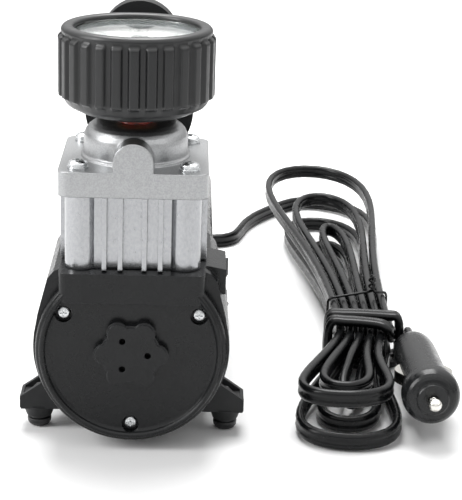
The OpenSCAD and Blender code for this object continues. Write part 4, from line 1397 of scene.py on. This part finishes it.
@dataclass
class Studio:
    """The pale floor, the white surround, the lamps and the camera.

    The camera's place is in millimetres and its angles are in degrees. The floor's
    reach and drop are in metres. The room's light is what falls on things. What they
    mirror grows brighter between the two heights of the mirrored direction.
    """

    camera_at: Point = (19.2, -629.0, 254.4)
    focal_px: float = 1670.5
    sensor: float = 36.0
    clip: Span = (0.01, 50.0)
    pitch: float = 17.856
    yaw: float = 1.571
    roll: float = 1.722
    floor_reach: float = 6.0
    floor_drop: float = 0.0001
    floor_tone: float = 0.93
    floor_roughness: float = 0.9
    floor_specular: float = 0.1
    room_light: float = 0.56
    mirrored_heights: Span = (0.05, 0.8)
    mirrored_light: Span = (0.5, 2.0)
    lamps: tuple[Lamp, ...] = (
        Lamp("top_softbox", (0.0, 0.5, 1.3), (0.05, 0.0, 0.05), (0.8, 0.8), 23),
        Lamp("left_softbox", (-1.2, -0.4, 0.8), (0.0, 0.0, 0.08), (0.5, 0.9), 14),
        Lamp("right_softbox", (1.2, -0.6, 0.6), (0.0, 0.0, 0.08), (0.3, 0.9), 0.8),
    )

    def camera(self) -> None:
        """Adds the camera."""
        data = bpy.data.cameras.new("camera")
        data.sensor_fit = "HORIZONTAL"
        data.sensor_width = self.sensor
        data.lens = self.focal_px / IMAGE_WIDTH * self.sensor
        data.clip_start, data.clip_end = self.clip
        camera = bpy.data.objects.new("camera", data)
        p, w, r = (math.radians(v) for v in (self.pitch, self.yaw, self.roll))
        ahead = Vector(
            (math.sin(w) * math.cos(p), math.cos(w) * math.cos(p), -math.sin(p))
        )
        level = Vector((math.cos(w), -math.sin(w), 0))
        above = level.cross(ahead)
        right = math.cos(r) * level + math.sin(r) * above
        up = math.cos(r) * above - math.sin(r) * level
        turn = Matrix((right, up, -ahead)).transposed().to_4x4()
        camera.matrix_world = Matrix.Translation(Vector(self.camera_at) * MM) @ turn
        bpy.context.scene.collection.objects.link(camera)
        bpy.context.scene.camera = camera

    def floor(self) -> None:
        """Adds the floor, which looks white where nothing shades it."""
        mesh = bpy.data.meshes.new("floor")
        signs = ((-1, -1), (1, -1), (1, 1), (-1, 1))
        square = [(x * self.floor_reach, y * self.floor_reach, 0) for x, y in signs]
        mesh.from_pydata(square, [], [(0, 1, 2, 3)])
        material = bpy.data.materials.new("matt_white_board")
        material.use_nodes = True
        shader = material.node_tree.nodes["Principled BSDF"]
        shader.inputs["Base Color"].default_value = (*[self.floor_tone] * 3, 1)
        shader.inputs["Roughness"].default_value = self.floor_roughness
        shader.inputs["Specular IOR Level"].default_value = self.floor_specular
        mesh.materials.append(material)
        floor = bpy.data.objects.new("floor", mesh)
        floor.location.z = -self.floor_drop
        bpy.context.scene.collection.objects.link(floor)

    def surround(self) -> None:
        """Makes the world, which is white wherever it is seen.

        It lights things softly from all round, and is darker low down in reflections.
        """
        world = bpy.data.worlds.new("soft_white_room")
        bpy.context.scene.world = world
        world.use_nodes = True
        tree = world.node_tree
        tree.nodes.clear()
        white = (1, 1, 1, 1)
        path = add_node(tree, "ShaderNodeLightPath")
        seen = add_node(
            tree,
            "ShaderNodeMath",
            {"operation": "MAXIMUM"},
            {0: path.outputs["Is Camera Ray"], 1: path.outputs["Is Transmission Ray"]},
        )
        way = add_node(tree, "ShaderNodeTexCoord").outputs["Generated"]
        parts = add_node(tree, "ShaderNodeSeparateXYZ", None, {"Vector": way})
        mirrored = add_node(
            tree,
            "ShaderNodeMapRange",
            None,
            {
                "Value": parts.outputs["Z"],
                "From Min": self.mirrored_heights[0],
                "From Max": self.mirrored_heights[1],
                "To Min": self.mirrored_light[0],
                "To Max": self.mirrored_light[1],
            },
        )
        strength = add_node(
            tree,
            "ShaderNodeMix",
            {"data_type": "FLOAT"},
            {
                0: path.outputs["Is Glossy Ray"],
                2: self.room_light,
                3: mirrored.outputs["Result"],
            },
        )
        lamp = add_node(
            tree,
            "ShaderNodeBackground",
            None,
            {"Color": white, "Strength": strength.outputs[0]},
        )
        backdrop = add_node(
            tree, "ShaderNodeBackground", None, {"Color": white, "Strength": 1.0}
        )
        chosen = add_node(
            tree,
            "ShaderNodeMixShader",
            None,
            {0: seen.outputs["Value"], 1: lamp.outputs[0], 2: backdrop.outputs[0]},
        )
        add_node(tree, "ShaderNodeOutputWorld", None, {"Surface": chosen.outputs[0]})

    def build(self) -> None:
        """Builds the whole studio."""
        bpy.context.scene.view_settings.view_transform = "Standard"
        self.camera()
        self.floor()
        self.surround()
        for lamp in self.lamps:
            lamp.build()


ASSEMBLIES = (
    SubAssembly(
        "crankcase",
        (
            (SATIN_ENAMEL, ("crankcase_cover", "crankcase_body", "intake_cap")),
            (ZINC_PLATE, ("cover_screws",)),
            # The filter felt's near-black colour is painted shade in the cap's holes.
            (WOOL_FELT_PAINTED_SHADE, ("intake_filter",)),
            (GASKET_PAPER, ("base_gasket",)),
        ),
    ),
    SubAssembly(
        "cylinder",
        (
            (EXTRUDED_ALUMINIUM, ("cylinder_block",)),
            (BLASTED_ALUMINIUM, ("cylinder_head",)),
            (TURNED_STEEL, ("valve_plate", "discharge_reed")),
            (ZINC_PLATE, ("head_screws",)),
            (MACHINED_BRASS, ("outlet_nipple",)),
        ),
    ),
    SubAssembly(
        "gauge",
        (
            (MACHINED_BRASS, ("gauge_stem", "gauge_movement")),
            (TURNED_STEEL, ("gauge_case",)),
            (WHITE_ENAMEL, ("gauge_dial",)),
            (PRINTING_INK, ("gauge_needle",)),
            (CLEAR_LENS, ("gauge_lens",)),
        ),
    ),
    SubAssembly(
        "crank train",
        (
            (BLASTED_ALUMINIUM, ("piston", "connecting_rod")),
            (SKIVED_PTFE, ("piston_seal",)),
            (TURNED_STEEL, ("intake_reed", "rod_bearing", "crank_pin", "crank_disc")),
        ),
    ),
    SubAssembly(
        "motor",
        (
            (SATIN_ENAMEL, ("motor_shroud", "rear_cover")),
            (TURNED_STEEL, ("motor_shaft", "main_bearings", "armature", "motor_can")),
            (VARNISHED_COPPER, ("commutator",)),
            (MOULDED_NYLON, ("cooling_fan", "motor_end_plate")),
            (SINTERED_FERRITE, ("magnets",)),
            (PRESSED_CARBON, ("brushes",)),
        ),
    ),
    SubAssembly(
        "handle",
        (
            (MOULDED_NYLON, ("handle_plate_front", "handle_plate_rear")),
            (TURNED_STEEL, ("handle_tube",)),
            (FOAM_SLEEVE, ("handle_grip",)),
            (ZINC_PLATE, ("body_screws",)),
        ),
    ),
    SubAssembly(
        "feet",
        (
            (MOULDED_NYLON, ("foot_brackets",)),
            (MOULDED_RUBBER, ("rubber_feet",)),
        ),
    ),
    SubAssembly("switch", ((MOULDED_NYLON, ("switch_insert", "switch_rocker")),)),
    SubAssembly("cord", ((MOULDED_RUBBER, ("cord_gland",)),)),
    SubAssembly(
        "plug",
        (
            (MOULDED_ABS, ("plug_nose", "plug_barrel")),
            (
                NICKEL_PLATE,
                ("plug_pin", "plug_contact_left", "plug_contact_right", "plug_fuse"),
            ),
            (TURNED_STEEL, ("plug_spring",)),
            (MOULDED_RUBBER, ("plug_relief",)),
        ),
    ),
)


def main() -> None:
    """Builds the studio, then each sub-assembly in turn."""
    logging.basicConfig(level=logging.INFO, format="%(message)s")
    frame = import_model()
    nodes = frame["nodes"]
    Studio().build()
    Cord().build(nodes)
    for assembly in ASSEMBLIES:
        assembly.dress(nodes)
    Boot().build()
    Dial().build()
    Sealant().build()
    Tie().build()


if __name__ == "__main__":
    main()
